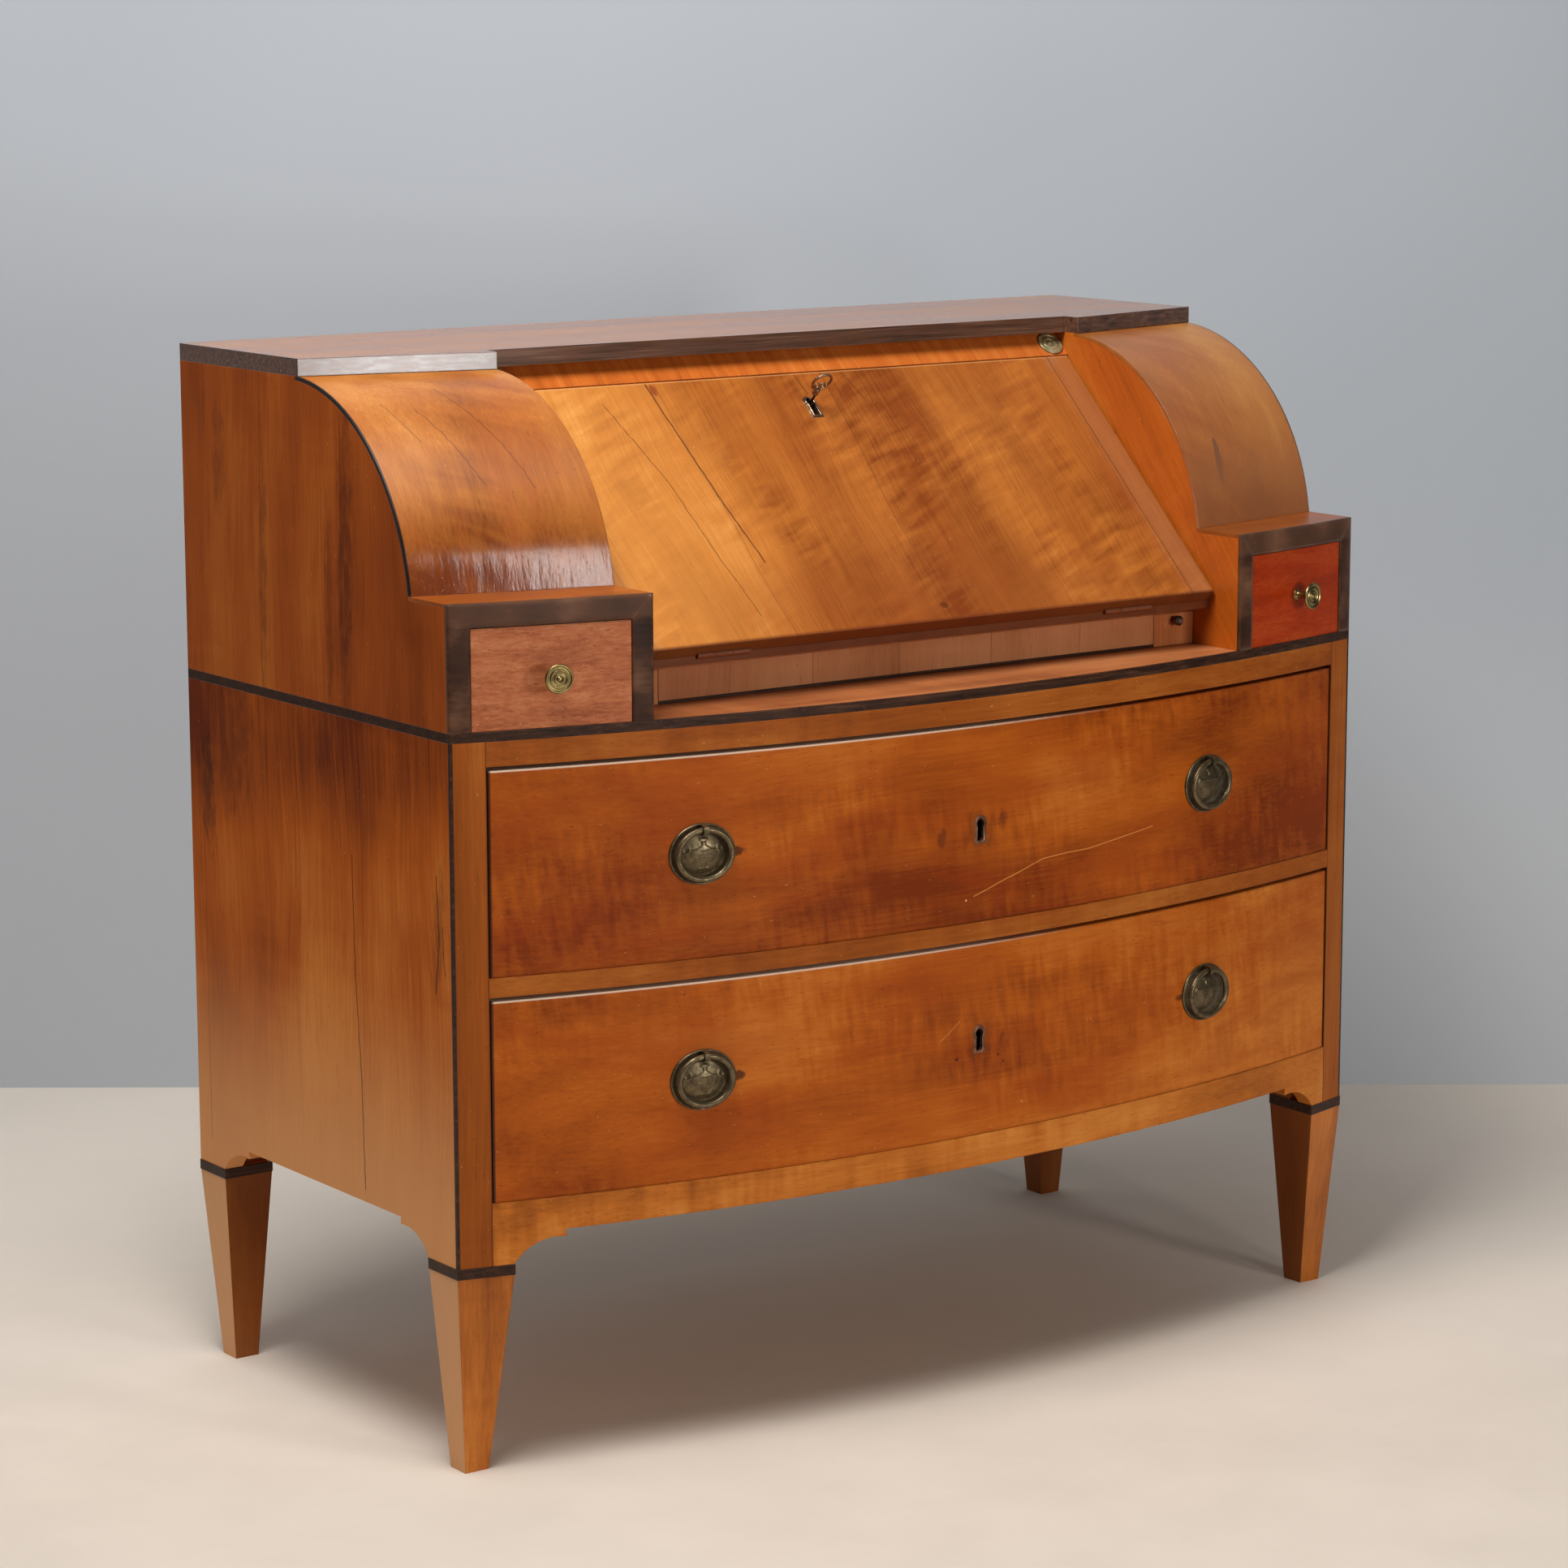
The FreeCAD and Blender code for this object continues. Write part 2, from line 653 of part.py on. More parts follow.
def fall_lock(hole, key_y):
    """The lock let into the fall's inner face, with a bolt that shoots into the rail above."""
    half = fall_lock_width / 2 - fall_lock_gap
    wall = fall_lock_wall
    case = box(-half, half, fall_length - fall_lock_height + fall_lock_gap, fall_length, 0,
               fall_lock_depth - fall_lock_gap)
    ceiling = fall_lock_depth - fall_lock_gap - wall
    tail = key_y + key_shaft_radius + fall_bolt_throw + bolt_clearance
    channel = box(-fall_bolt_width / 2 - bolt_clearance, fall_bolt_width / 2 + bolt_clearance,
                  key_y, fall_length + overrun, wall, ceiling)
    cavity = Part.makeCylinder(key_cavity_radius, ceiling - wall, vec(0, key_y, wall))
    add("fall_lock", laid_on_slope(case.cut(channel).cut(cavity).cut(hole_from(hole, wall))))
    bolt = box(-fall_bolt_width / 2, fall_bolt_width / 2, tail, fall_length - fall_bolt_set_down,
               wall + bolt_clearance, ceiling - bolt_clearance)
    add("fall_bolt", laid_on_slope(bolt))


def hole_from(hole, level):
    """A copy of the fall's keyhole that starts at a level above the inner face."""
    copy = hole.copy()
    copy.translate(Z * level)
    return copy


def fall_key(key_y):
    """The key in the fall's lock, a quarter turn round, with its bow and bit level with the hinge line."""
    low = fall_lock_wall + key_end_gap
    bow_z = fall_thickness + key_reach
    shaft = Part.makeCylinder(key_shaft_radius, bow_z - low, vec(0, 0, low))
    collar = Part.makeCylinder(key_collar_radius, key_collar_length, vec(0, 0, bow_z - 2 * key_collar_length))
    bow = wire_ring(key_bow_radius, key_bow_wire, vec(0, 0, bow_z + key_bow_radius))
    ceiling = fall_lock_depth - fall_lock_gap - fall_lock_wall
    bit = box(0, key_bit_length, -key_bit_thickness / 2, key_bit_thickness / 2, low, ceiling - key_end_gap)
    key = shaft.fuse([collar, bow, bit]).removeSplitter()
    key.translate(vec(0, key_y))
    add("key", laid_on_slope(key))


def fall_rail():
    """The fixed rail over the fall that stops it and takes its bolt, with a brass plate at each end."""
    low = fall_length + fall_top_gap
    front_top = on_slope(rail_crown, fall_thickness)
    section = [on_slope(low, fall_thickness), front_top, front_top + Y * rail_top_depth,
               on_slope(fall_length - rail_lip, -rail_back_depth), on_slope(fall_length - rail_lip, -fall_rest_gap),
               on_slope(low, -fall_rest_gap)]
    section = [vec(-box_inner_x, p.y, p.z) for p in section]
    rail = prism(section, X * (2 * box_inner_x))
    ceiling = fall_lock_depth - fall_lock_gap - fall_lock_wall
    mortise = box(-fall_bolt_width / 2 - bolt_clearance, fall_bolt_width / 2 + bolt_clearance,
                  fall_length, fall_length + fall_bolt_throw + fall_top_gap, fall_lock_wall, ceiling)
    add("fall_rail", rail.cut(laid_on_slope(mortise)))

    top = rail_crown - plate_end_gap - (plate_thickness + plate_ring_height) * slope_cos / slope_sin
    bottom = low + plate_end_gap
    middle = (top + bottom) / 2
    outer = box_inner_x - plate_end_gap
    radius = min(plate_width, top - bottom) / 2
    centre = vec(outer - radius, middle, fall_thickness + plate_thickness)
    plate = Part.makeCylinder(radius, plate_thickness, vec(outer - radius, middle, fall_thickness))
    for outside, inside in plate_ring_shares:
        ring = Part.makeCylinder(radius * outside, plate_ring_height, centre)
        plate = plate.fuse(ring.cut(Part.makeCylinder(radius * inside, plate_ring_height, centre)))
    plate = plate.fuse(Part.makeCylinder(radius * plate_button_share, plate_ring_height, centre))
    add("corner_plates", *pair(laid_on_slope(plate.removeSplitter())))


def writing_bed():
    """The bed behind the hinge, the frieze under it, and the lopers with their guides and knobs."""
    front = hinge_y + bed_front_gap
    face = corner_y + frieze_setback
    bed = box(-box_inner_x, box_inner_x, front, back_face_y, bed_z, hinge_z)
    bed = bed.cut(box(-box_inner_x, box_inner_x, front, face, bed_z, hinge_z - bed_nosing))
    relief = hinge_relief()
    relief.translate(vec(0, hinge_y, hinge_z))
    bed = bed.cut(relief)
    half = hinge_length / 2
    third = hinge_length / 3
    for x in hinge_places():
        leaf = box(x - half, x + half, hinge_y, hinge_y + hinge_leaf_width, hinge_z - hinge_leaf_thickness, hinge_z)
        bed = bed.cut(leaf)
        middle = knuckle(x - third / 2, x + third / 2, hinge_knuckle_radius + hinge_clearance)
        rolls = [knuckle(x - half, x - third / 2, hinge_knuckle_radius),
                 knuckle(x + third / 2, x + half, hinge_knuckle_radius),
                 knuckle(x - half, x + half, hinge_pin_radius)]
        for piece in [middle] + rolls:
            piece.translate(vec(0, hinge_y, hinge_z))
        add("bed_hinge_leaves", leaf.cut(middle).fuse(rolls).removeSplitter())
    add("writing_bed", bed)

    inner = box_inner_x - loper_width - 2 * loper_side_gap
    add("frieze", box(-inner, inner, face, face + frieze_thickness, deck_z + frieze_string_height, bed_z))
    add("ebonised_strings", box(-inner, inner, face, face + frieze_thickness, deck_z,
                                deck_z + frieze_string_height))
    guide = box(inner - loper_guide_thickness, inner, face + frieze_thickness, back_face_y, deck_z, bed_z)
    add("loper_guides", *pair(guide))
    x0 = inner + loper_side_gap
    loper = box(x0, x0 + loper_width, face, back_face_y - loper_back_gap, deck_z + loper_gap, loper_top_z)
    centre = vec(x0 + loper_width / 2, face, deck_z + loper_knob_rise)
    knob = button(centre, loper_knob_radius, loper_knob_neck, loper_knob_reach)
    for side, pieces in (("right", (loper, knob)), ("left", (mirrored(loper), mirrored(knob)))):
        add(side + "_loper", pieces[0])
        add(side + "_loper_knob", pieces[1])


def drawer(x0, x1, z0, z1, sizes, end_y):
    """A drawer behind the bow: its front, and its sides, back and bottom as separate boards."""
    recess, thickness, board, bottom, drop = sizes
    inset = recess + thickness
    front = bowed_board(x0, x1, recess, inset, z0, z1)
    low, high = z0 + bottom, z1 - drop
    boards = [box(x0, x0 + board, apex_y, end_y, z0, high), box(x1 - board, x1, apex_y, end_y, z0, high),
              box(x0 + board, x1 - board, end_y - board, end_y, low, high),
              box(x0 + board, x1 - board, apex_y, end_y, z0, low)]
    return front, [behind_bow(piece, inset + glue_line) for piece in boards]


def lock_face_y():
    """Where the flat back of a drawer lock meets the hollow back of the bowed front."""
    return bow_y(drawer_lock_width / 2, drawer_recess + drawer_front_thickness)


def bolt_mortise(z):
    """The slot in the rail over a drawer that its bolt shoots into."""
    half = bolt_width / 2 + bolt_clearance
    near = lock_face_y() + lock_wall - bolt_clearance
    far = lock_face_y() + lock_wall + bolt_thickness + bolt_clearance
    return box(-half, half, near, far, z - overrun, z + bolt_throw)


def drawer_lock(name, key_z, top):
    """A lock on the back of a long drawer's front, with a bar that rises into the rail above."""
    near = lock_face_y()
    bar_near = near + lock_wall
    bar_far = bar_near + bolt_thickness
    half = bolt_width / 2
    low = key_z + drawer_lock_rise - drawer_lock_height / 2
    case = box(-drawer_lock_width / 2, drawer_lock_width / 2, near, near + drawer_lock_depth,
               low, low + drawer_lock_height)
    slot = box(-half - bolt_clearance, half + bolt_clearance, bar_near - bolt_clearance,
               bar_far + bolt_clearance, key_z, top + overrun)
    hole = keyhole(keyhole_radius, keyhole_slot, keyhole_drop, bar_near - near + overrun)
    hole.rotate(vec(0, 0), X, 90)
    hole.translate(vec(0, bar_near, key_z))
    staple_top = top - staple_drop
    staple = box(-half - staple_wall, half + staple_wall, near, bar_far + staple_wall,
                 staple_top - staple_height, staple_top)
    add(name + "_lock", case.cut(slot).cut(hole), staple.cut(slot))
    add(name + "_bolt", box(-half, half, bar_near, bar_far, key_z + bolt_tail_rise, top - bolt_set_down))


def widened(solid):
    """A piece of a pull that was drawn round about Y, as much wider than tall as the pulls are."""
    stretch = FreeCAD.Matrix()
    stretch.scale(pull_wide_share, 1, 1)
    return solid.transformGeometry(stretch)


def ring_pull(x, z):
    """An oval stamped plate with a boss, a rim and an eye, and the oval ring that hangs in the eye."""
    ring_off = pull_plate_thickness + pull_ring_gap + pull_wire_radius
    rim_inner = pull_plate_radius - pull_rim_width
    corners = [vec(0, 0), vec(pull_plate_radius, 0), vec(pull_plate_radius, -pull_rim_height),
               vec(rim_inner, -pull_rim_height), vec(rim_inner, -pull_plate_thickness),
               vec(pull_boss_radius, -pull_plate_thickness), vec(0, -pull_boss_height)]
    rise = pull_boss_height - pull_plate_thickness
    edges = [line(a, b) for a, b in zip(corners[:5], corners[1:6])]
    edges.append(arc_through(corners[5], corners[6], pull_boss_dome, vec(rise, -pull_boss_radius)))
    edges.append(line(corners[6], corners[0]))
    plate = widened(face_of(edges).revolve(vec(0, 0), Y, 360))
    half = pull_eye_width / 2
    hole_radius = pull_wire_radius + pull_eye_clearance
    reach = hole_radius + pull_eye_wall
    eye = box(-half, half, -ring_off - reach, 0, pull_ring_radius - reach, pull_ring_radius + reach)
    hole = Part.makeCylinder(hole_radius, pull_eye_width, vec(-half, -ring_off, pull_ring_radius), X)
    plate = plate.fuse(eye).cut(hole).removeSplitter()
    ring = widened(wire_ring(pull_ring_radius, pull_wire_radius, vec(0, -ring_off)))
    turn = math.degrees(math.asin(x / (bow_radius - drawer_recess)))
    for piece in (plate, ring):
        piece.rotate(vec(0, 0), Z, turn)
        piece.translate(vec(x, bow_y(x, drawer_recess), z))
    return plate, ring


def long_drawers():
    """Two long drawers with their pulls, escutcheons and locks."""
    x = rail_half - drawer_side_gap
    sizes = (drawer_recess, drawer_front_thickness, drawer_board, drawer_bottom_board, drawer_side_drop)
    drawers = (("upper", upper_opening_z, upper_opening_height, upper_key_rise, upper_pull_rise),
               ("lower", lower_opening_z, lower_opening_height, lower_key_rise, lower_pull_rise))
    for name, z, height, key_rise, pull_rise in drawers:
        low, top = z + drawer_bottom_gap, z + height - drawer_top_gap
        front, boards = drawer(-x, x, low, top, sizes, back_face_y - drawer_back_gap)
        key_z = z + key_rise
        hole = keyhole(keyhole_radius, keyhole_slot, keyhole_drop, drawer_front_thickness + 2 * overrun)
        hole.translate(Z * (-drawer_front_thickness - overrun))
        rim, seat = escutcheon_pieces()
        add(name + "_drawer_front", front.cut(stood_up(hole, key_z)).cut(stood_up(seat, key_z)))
        add(name + "_drawer_box", *boards)
        add(name + "_escutcheon", stood_up(rim, key_z))
        drawer_lock(name, key_z, top)
        for side, place in (("left", -pull_x), ("right", pull_x)):
            plate, ring = ring_pull(place, z + pull_rise)
            add(name + "_pull_plates", plate)
            add(name + "_" + side + "_ring", ring)


def small_drawers():
    """The drawer in each box beside the fall, with a turned brass knob."""
    x0 = box_inner_x + side_thickness + small_drawer_gap
    x1 = inner_half - small_drawer_gap
    z0 = deck_z + drawer_bottom_gap
    z1 = box_top_z - frame_top_height - small_drawer_gap
    sizes = (small_drawer_recess, small_front_thickness, small_drawer_board, small_bottom_board, small_side_drop)
    front, boards = drawer(x0, x1, z0, z1, sizes, corner_y + small_drawer_length)
    x, z = (x0 + x1) / 2, (z0 + z1) / 2
    head = knob_reach - knob_head
    profile = [(0, 0), (knob_foot_radius, 0), (knob_foot_radius, knob_foot_height),
               (knob_stem_radius, 2 * knob_foot_height), (knob_stem_radius, head - knob_head),
               (knob_radius, head), (knob_radius, knob_reach - knob_dish),
               (knob_radius - knob_dish, knob_reach), (knob_radius - 2 * knob_dish, knob_reach - knob_dish),
               (knob_ring_radius + knob_dish, knob_reach - knob_dish), (knob_ring_radius, knob_reach),
               (knob_ring_radius - knob_dish, knob_reach - knob_dish),
               (knob_button_radius, knob_reach - knob_dish), (0, knob_reach)]
    knob = turned([vec(r, -d) for r, d in profile], vec(0, 0), Y)
    knob.rotate(vec(0, 0), Z, math.degrees(math.asin(x / (bow_radius - small_drawer_recess))))
    knob.translate(vec(x, bow_y(x, small_drawer_recess), z))
    for side, copy in (("right", lambda solid: solid), ("left", mirrored)):
        add(side + "_drawer_front", copy(front))
        add(side + "_drawer_box", *[copy(piece) for piece in boards])
        add(side + "_knob", copy(knob))


def gallery():
    """The shelf, dividers and pair of small drawers at the back of the writing compartment."""
    front = rail_top_y + rail_top_depth + gallery_gap
    shelf_low = hinge_z + gallery_shelf_rise
    shelf_top = shelf_low + gallery_board
    add("gallery_shelf", box(-box_inner_x, box_inner_x, front, back_face_y, shelf_low, shelf_top))
    bay = box_inner_x / 2
    for x in (-bay, 0, bay):
        add("gallery_dividers", box(x - gallery_divider / 2, x + gallery_divider / 2, front, back_face_y,
                                    shelf_top, slab_z))
    x0 = gallery_niche_width / 2
    partition = box(x0, x0 + gallery_divider, front, back_face_y, hinge_z, shelf_low)
    add("gallery_dividers", *pair(partition))

    x0 += gallery_divider + inner_drawer_gap
    x1 = box_inner_x - inner_drawer_gap
    z0, z1 = hinge_z + drawer_bottom_gap, shelf_low - inner_drawer_gap
    board = inner_drawer_board
    inside, end = front + inner_front_thickness, back_face_y - inner_drawer_back_gap
    high = z1 - inner_side_drop
    pieces = [box(x0, x1, front, inside, z0, z1), box(x0, x0 + board, inside, end, z0, high),
              box(x1 - board, x1, inside, end, z0, high),
              box(x0 + board, x1 - board, end - board, end, z0 + board, high),
              box(x0 + board, x1 - board, inside, end, z0, z0 + board)]
    centre = vec((x0 + x1) / 2, front, (z0 + z1) / 2)
    pieces.append(button(centre, inner_knob_radius, inner_knob_neck, inner_knob_reach))
    add("right_inner_drawer", *pieces)
    add("left_inner_drawer", *[mirrored(piece) for piece in pieces])


def main():
    for section in (lower_case, legs, shelf, upper_case, fall_rail, fall, writing_bed, long_drawers,
                    small_drawers, gallery):
        section()
    os.makedirs("parts", exist_ok=True)
    for name, solids in nodes.items():
        shape = solids[0] if len(solids) == 1 else Part.makeCompound(solids)
        shape.exportStep("parts/" + name + ".step")


main()
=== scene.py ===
import math
import bmesh
import bpy
from mathutils import Matrix, Vector


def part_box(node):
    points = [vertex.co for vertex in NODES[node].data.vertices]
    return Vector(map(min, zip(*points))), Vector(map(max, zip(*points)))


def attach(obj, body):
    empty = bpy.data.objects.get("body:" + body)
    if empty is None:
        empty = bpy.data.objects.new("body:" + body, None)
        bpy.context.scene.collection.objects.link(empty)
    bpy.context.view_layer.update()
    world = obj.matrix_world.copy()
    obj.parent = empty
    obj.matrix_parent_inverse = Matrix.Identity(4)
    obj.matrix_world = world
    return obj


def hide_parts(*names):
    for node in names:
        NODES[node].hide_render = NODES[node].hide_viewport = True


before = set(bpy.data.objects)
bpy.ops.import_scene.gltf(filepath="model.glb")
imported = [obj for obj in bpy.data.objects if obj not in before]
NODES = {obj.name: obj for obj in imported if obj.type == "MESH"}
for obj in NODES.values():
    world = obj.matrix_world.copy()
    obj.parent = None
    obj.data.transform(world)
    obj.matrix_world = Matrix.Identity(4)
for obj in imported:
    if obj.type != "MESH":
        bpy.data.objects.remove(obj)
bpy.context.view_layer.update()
MM = 0.001
AXES = (Vector((1, 0, 0)), Vector((0, 1, 0)), Vector((0, 0, 1)))
X, Y, Z = AXES

# The bow of the front and the slope of the fall, in the part's frame
HALF_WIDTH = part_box("lower_sides")[1].x
CORNER_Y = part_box("lower_sides")[0].y
BOW_RISE = CORNER_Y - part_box("middle_rail")[0].y
BOW_RADIUS = (HALF_WIDTH ** 2 + BOW_RISE ** 2) / (2 * BOW_RISE)
BOW_CENTRE = CORNER_Y - BOW_RISE + BOW_RADIUS
SLOPE = math.radians(43.15)
UPHILL = Vector((0, math.cos(SLOPE), math.sin(SLOPE)))
OFF_SLOPE = Vector((0, -math.sin(SLOPE), math.cos(SLOPE)))
HINGE = Vector((0, -0.2245, 0.8184))
FALL_THICKNESS = 15 * MM
SHOULDER_GRAIN = Vector((0, 0.6, 0.8))

# Where the fittings sit: across from the middle, up from the floor, or up the slope from the hinge
PULL_X, KNOB_X = 0.338, 0.495
UPPER_KEYHOLE, LOWER_KEYHOLE, FALL_KEYHOLE = 0.6235, 0.397, 0.313
KEYHOLE_DROP = 6.75 * MM
CORNER_PLATE_X, CORNER_PLATE_UP = 0.3732, 0.3749
RING_RADIUS, RING_STAND, PULL_WIDE = 25.6 * MM, 8.5 * MM, 1.17
FITTING_INSET, KNOB_INSET = 0.8 * MM, 1.0 * MM
UPPER_TOP, LOWER_TOP = [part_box(name + "_drawer_front")[1].z - 0.3 * MM for name in ("upper", "lower")]
FRAME_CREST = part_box("box_frames")[1].z - 26 * MM


def tone(red, green, blue):
    """A screen colour of 0 to 255 as the linear colour that a shader takes."""
    shares = [c / 255 for c in (red, green, blue)]
    return tuple(c / 12.92 if c < 0.04045 else ((c + 0.055) / 1.055) ** 2.4 for c in shares) + (1.0,)


# The woods, each as its dark, middle and light colour
CHERRY = (tone(120, 48, 9), tone(178, 89, 20), tone(208, 124, 46))
SIDE_CHERRY = (tone(100, 38, 10), tone(164, 80, 24), tone(204, 122, 48))
LOWER_CHERRY = (tone(108, 42, 8), tone(186, 92, 22), tone(222, 138, 60))
FALL_CHERRY = (tone(120, 56, 14), tone(180, 106, 40), tone(222, 158, 82))
FALL_RAIL_CHERRY = (tone(120, 48, 14), tone(187, 97, 35), tone(216, 136, 62))
SHOULDER_CHERRY = (tone(110, 50, 12), tone(171, 101, 35), tone(212, 148, 70))
CHEEK_CHERRY = (tone(128, 54, 12), tone(184, 92, 24), tone(212, 128, 48))
TOP_CHERRY = (tone(106, 54, 22), tone(156, 92, 40), tone(188, 128, 70))
GOLDEN = (tone(126, 62, 17), tone(190, 109, 38), tone(220, 146, 66))
RAIL_BROWN = (tone(104, 49, 14), tone(154, 80, 24), tone(188, 113, 45))
SHADY = (tone(110, 52, 24), tone(176, 105, 60), tone(206, 142, 90))
FRIEZE_BROWN = (tone(124, 66, 38), tone(183, 119, 76), tone(212, 150, 104))
REDDISH = (tone(120, 48, 22), tone(176, 101, 62), tone(208, 137, 93))
DEEP_RED = (tone(96, 28, 5), tone(166, 51, 5), tone(196, 92, 32))
PLAIN = (tone(146, 96, 52), tone(200, 148, 92), tone(224, 182, 128))
BACK_PINE = (tone(116, 72, 38), tone(178, 122, 72), tone(206, 156, 102))
EBONY = (tone(34, 22, 16), tone(58, 36, 25), tone(94, 60, 40))
BAND_EBONY = (tone(60, 42, 32), tone(98, 68, 52), tone(134, 96, 72))
FRAME_EBONY = (tone(26, 16, 12), tone(66, 42, 30), tone(134, 94, 70))

# Dirt and wear, the painted shade of keyholes and gaps, and a painted edge highlight
DARK_SCAR = tone(50, 24, 12)
PALE_EDGE_LINE = tone(222, 168, 112)
GRIME_AND_GAP_SHADE = tone(44, 26, 16)
PAINTED_HOLE_SHADE = tone(22, 11, 7)
PAINTED_EDGE_HIGHLIGHT = tone(248, 226, 200)
RED_STAIN = tone(70, 26, 16)
BROWN_STAIN = tone(84, 36, 16)
SIDE_STREAK, SIDE_STAIN = tone(64, 26, 14), tone(70, 28, 14)


class Finish:
    """The node tree of one material, built by calls that take and return sockets or plain values."""

    def __init__(self, name):
        self.material = bpy.data.materials.new(name)
        self.material.use_nodes = True
        self.tree = self.material.node_tree
        self.tree.nodes.clear()
        self.shader = self.add("ShaderNodeBsdfPrincipled")
        self.output = self.add("ShaderNodeOutputMaterial")
        self.tree.links.new(self.shader.outputs["BSDF"], self.output.inputs["Surface"])
        self.point = self.add("ShaderNodeTexCoord").outputs["Object"]

    def add(self, kind, **settings):
        node = self.tree.nodes.new(kind)
        for key, value in settings.items():
            setattr(node, key, value)
        return node

    def feed(self, socket, value):
        if isinstance(value, bpy.types.NodeSocket):
            self.tree.links.new(value, socket)
        else:
            socket.default_value = value

    def sum(self, operation, *values, clamp=False):
        node = self.add("ShaderNodeMath", operation=operation, use_clamp=clamp)
        for socket, value in zip(node.inputs, values):
            self.feed(socket, value)
        return node.outputs[0]

    def times(self, value, factor):
        return self.sum("MULTIPLY", value, factor)

    def lift(self, level, signal, amount):
        """A level moved by a share of a signal that runs from 0 to 1."""
        return self.sum("MULTIPLY_ADD", self.sum("SUBTRACT", signal, 0.5), amount, level)

    def dot(self, first, second):
        node = self.add("ShaderNodeVectorMath", operation="DOT_PRODUCT")
        self.feed(node.inputs[0], first)
        self.feed(node.inputs[1], second)
        return node.outputs["Value"]

    def along(self, direction):
        """How far the shaded point lies along a direction."""
        return self.dot(self.point, direction)

    def normal(self):
        return self.add("ShaderNodeNewGeometry").outputs["Normal"]

    def place(self, x, y, z=0.0):
        node = self.add("ShaderNodeCombineXYZ")
        for socket, value in zip(node.inputs, (x, y, z)):
            self.feed(socket, value)
        return node.outputs[0]

    def noise(self, vector, detail=3.0, roughness=0.5, distortion=0.0):
        node = self.add("ShaderNodeTexNoise")
        self.feed(node.inputs["Vector"], vector)
        for key, value in (("Scale", 1.0), ("Detail", detail), ("Roughness", roughness),
                           ("Distortion", distortion)):
            node.inputs[key].default_value = value
        return node.outputs["Fac"]

    def solid(self, scale, *settings):
        """Noise of one scale in all directions."""
        return self.noise(self.place(*[self.times(self.along(axis), scale) for axis in AXES]), *settings)

    def grained(self, axes, scales, seed, *settings):
        """Noise with a scale of its own along each of three axes."""
        first, second = [self.times(axis, scale) for axis, scale in zip(axes[:2], scales)]
        third = self.sum("MULTIPLY_ADD", axes[2], scales[2], seed)
        return self.noise(self.place(first, second, third), *settings)

    def ease(self, value, low, high, out_low=0.0, out_high=1.0):
        """A smooth step between two values."""
        node = self.add("ShaderNodeMapRange", interpolation_type="SMOOTHSTEP")
        for socket, number in zip(node.inputs, (value, low, high, out_low, out_high)):
            self.feed(socket, number)
        return node.outputs[0]

    def ramp(self, value, *stops):
        node = self.add("ShaderNodeValToRGB")
        elements = node.color_ramp.elements
        while len(elements) < len(stops):
            elements.new(0.5)
        for element, (place, colour) in zip(elements, stops):
            element.position, element.color = place, colour
        self.feed(node.inputs["Fac"], value)
        return node.outputs["Color"]

    def tint(self, factor, first, second, how="MIX"):
        node = self.add("ShaderNodeMix", data_type="RGBA", blend_type=how)
        for index, value in ((0, factor), (6, first), (7, second)):
            self.feed(node.inputs[index], value)
        return node.outputs[2]

    def stroke(self, u, v, points, width, wander=0.0):
        """1 on a thin broken line through points of a surface with coordinates u and v."""
        if wander:
            shake = self.noise(self.place(self.times(u, 60.0), self.times(v, 60.0)))
            u = self.sum("ADD", u, self.times(self.sum("SUBTRACT", shake, 0.5), wander))
        masks = []
        for (u0, v0), (u1, v1) in zip(points, points[1:]):
            du, dv = u1 - u0, v1 - v0
            ru, rv = self.sum("SUBTRACT", u, u0), self.sum("SUBTRACT", v, v0)
            share = self.sum("MULTIPLY_ADD", ru, du / (du * du + dv * dv),
                             self.times(rv, dv / (du * du + dv * dv)), clamp=True)
            gap_u = self.sum("MULTIPLY_ADD", share, -du, ru)
            gap_v = self.sum("MULTIPLY_ADD", share, -dv, rv)
            gap = self.sum("SQRT", self.sum("ADD", self.times(gap_u, gap_u), self.times(gap_v, gap_v)))
            masks.append(self.ease(gap, width, width * 0.25))
        mask = masks[0]
        for other in masks[1:]:
            mask = self.sum("MAXIMUM", mask, other)
        return mask

    def spot(self, u, v, centre, radii, soft=0.5, turn=0.0):
        """1 inside an ellipse on a surface, fading out over its soft share; a middling one is ragged."""
        ru, rv = self.sum("SUBTRACT", u, centre[0]), self.sum("SUBTRACT", v, centre[1])
        cos, sin = math.cos(turn), math.sin(turn)
        su = self.sum("MULTIPLY_ADD", ru, cos / radii[0], self.times(rv, sin / radii[0]))
        sv = self.sum("MULTIPLY_ADD", rv, cos / radii[1], self.times(ru, -sin / radii[1]))
        reach = self.sum("ADD", self.times(su, su), self.times(sv, sv))
        if 0.008 < radii[0] < 0.2:
            ragged = self.noise(self.place(self.times(u, 95.0), self.times(v, 34.0)), 4.0, 0.65)
            reach = self.sum("ADD", reach, self.sum("MULTIPLY_ADD", ragged, 2.4, -1.0))
        return self.ease(reach, 1.0, 1.0 - soft)

    def edges(self, radius):
        """1 on the arrises of a piece and 0 on its faces, with the normal that rounds them."""
        rounded = self.add("ShaderNodeBevel", samples=4)
        rounded.inputs["Radius"].default_value = radius
        flatness = self.dot(rounded.outputs[0], self.normal())
        return self.ease(flatness, 0.995, 0.75), rounded.outputs[0]

    def relief(self, height, strength, distance, normal):
        node = self.add("ShaderNodeBump")
        node.inputs["Strength"].default_value = strength
        node.inputs["Distance"].default_value = distance
        self.feed(node.inputs["Height"], height)
        self.feed(node.inputs["Normal"], normal)
        self.feed(self.shader.inputs["Normal"], node.outputs[0])

    def set(self, **values):
        for key, value in values.items():
            self.feed(self.shader.inputs[key.replace("_", " ")], value)


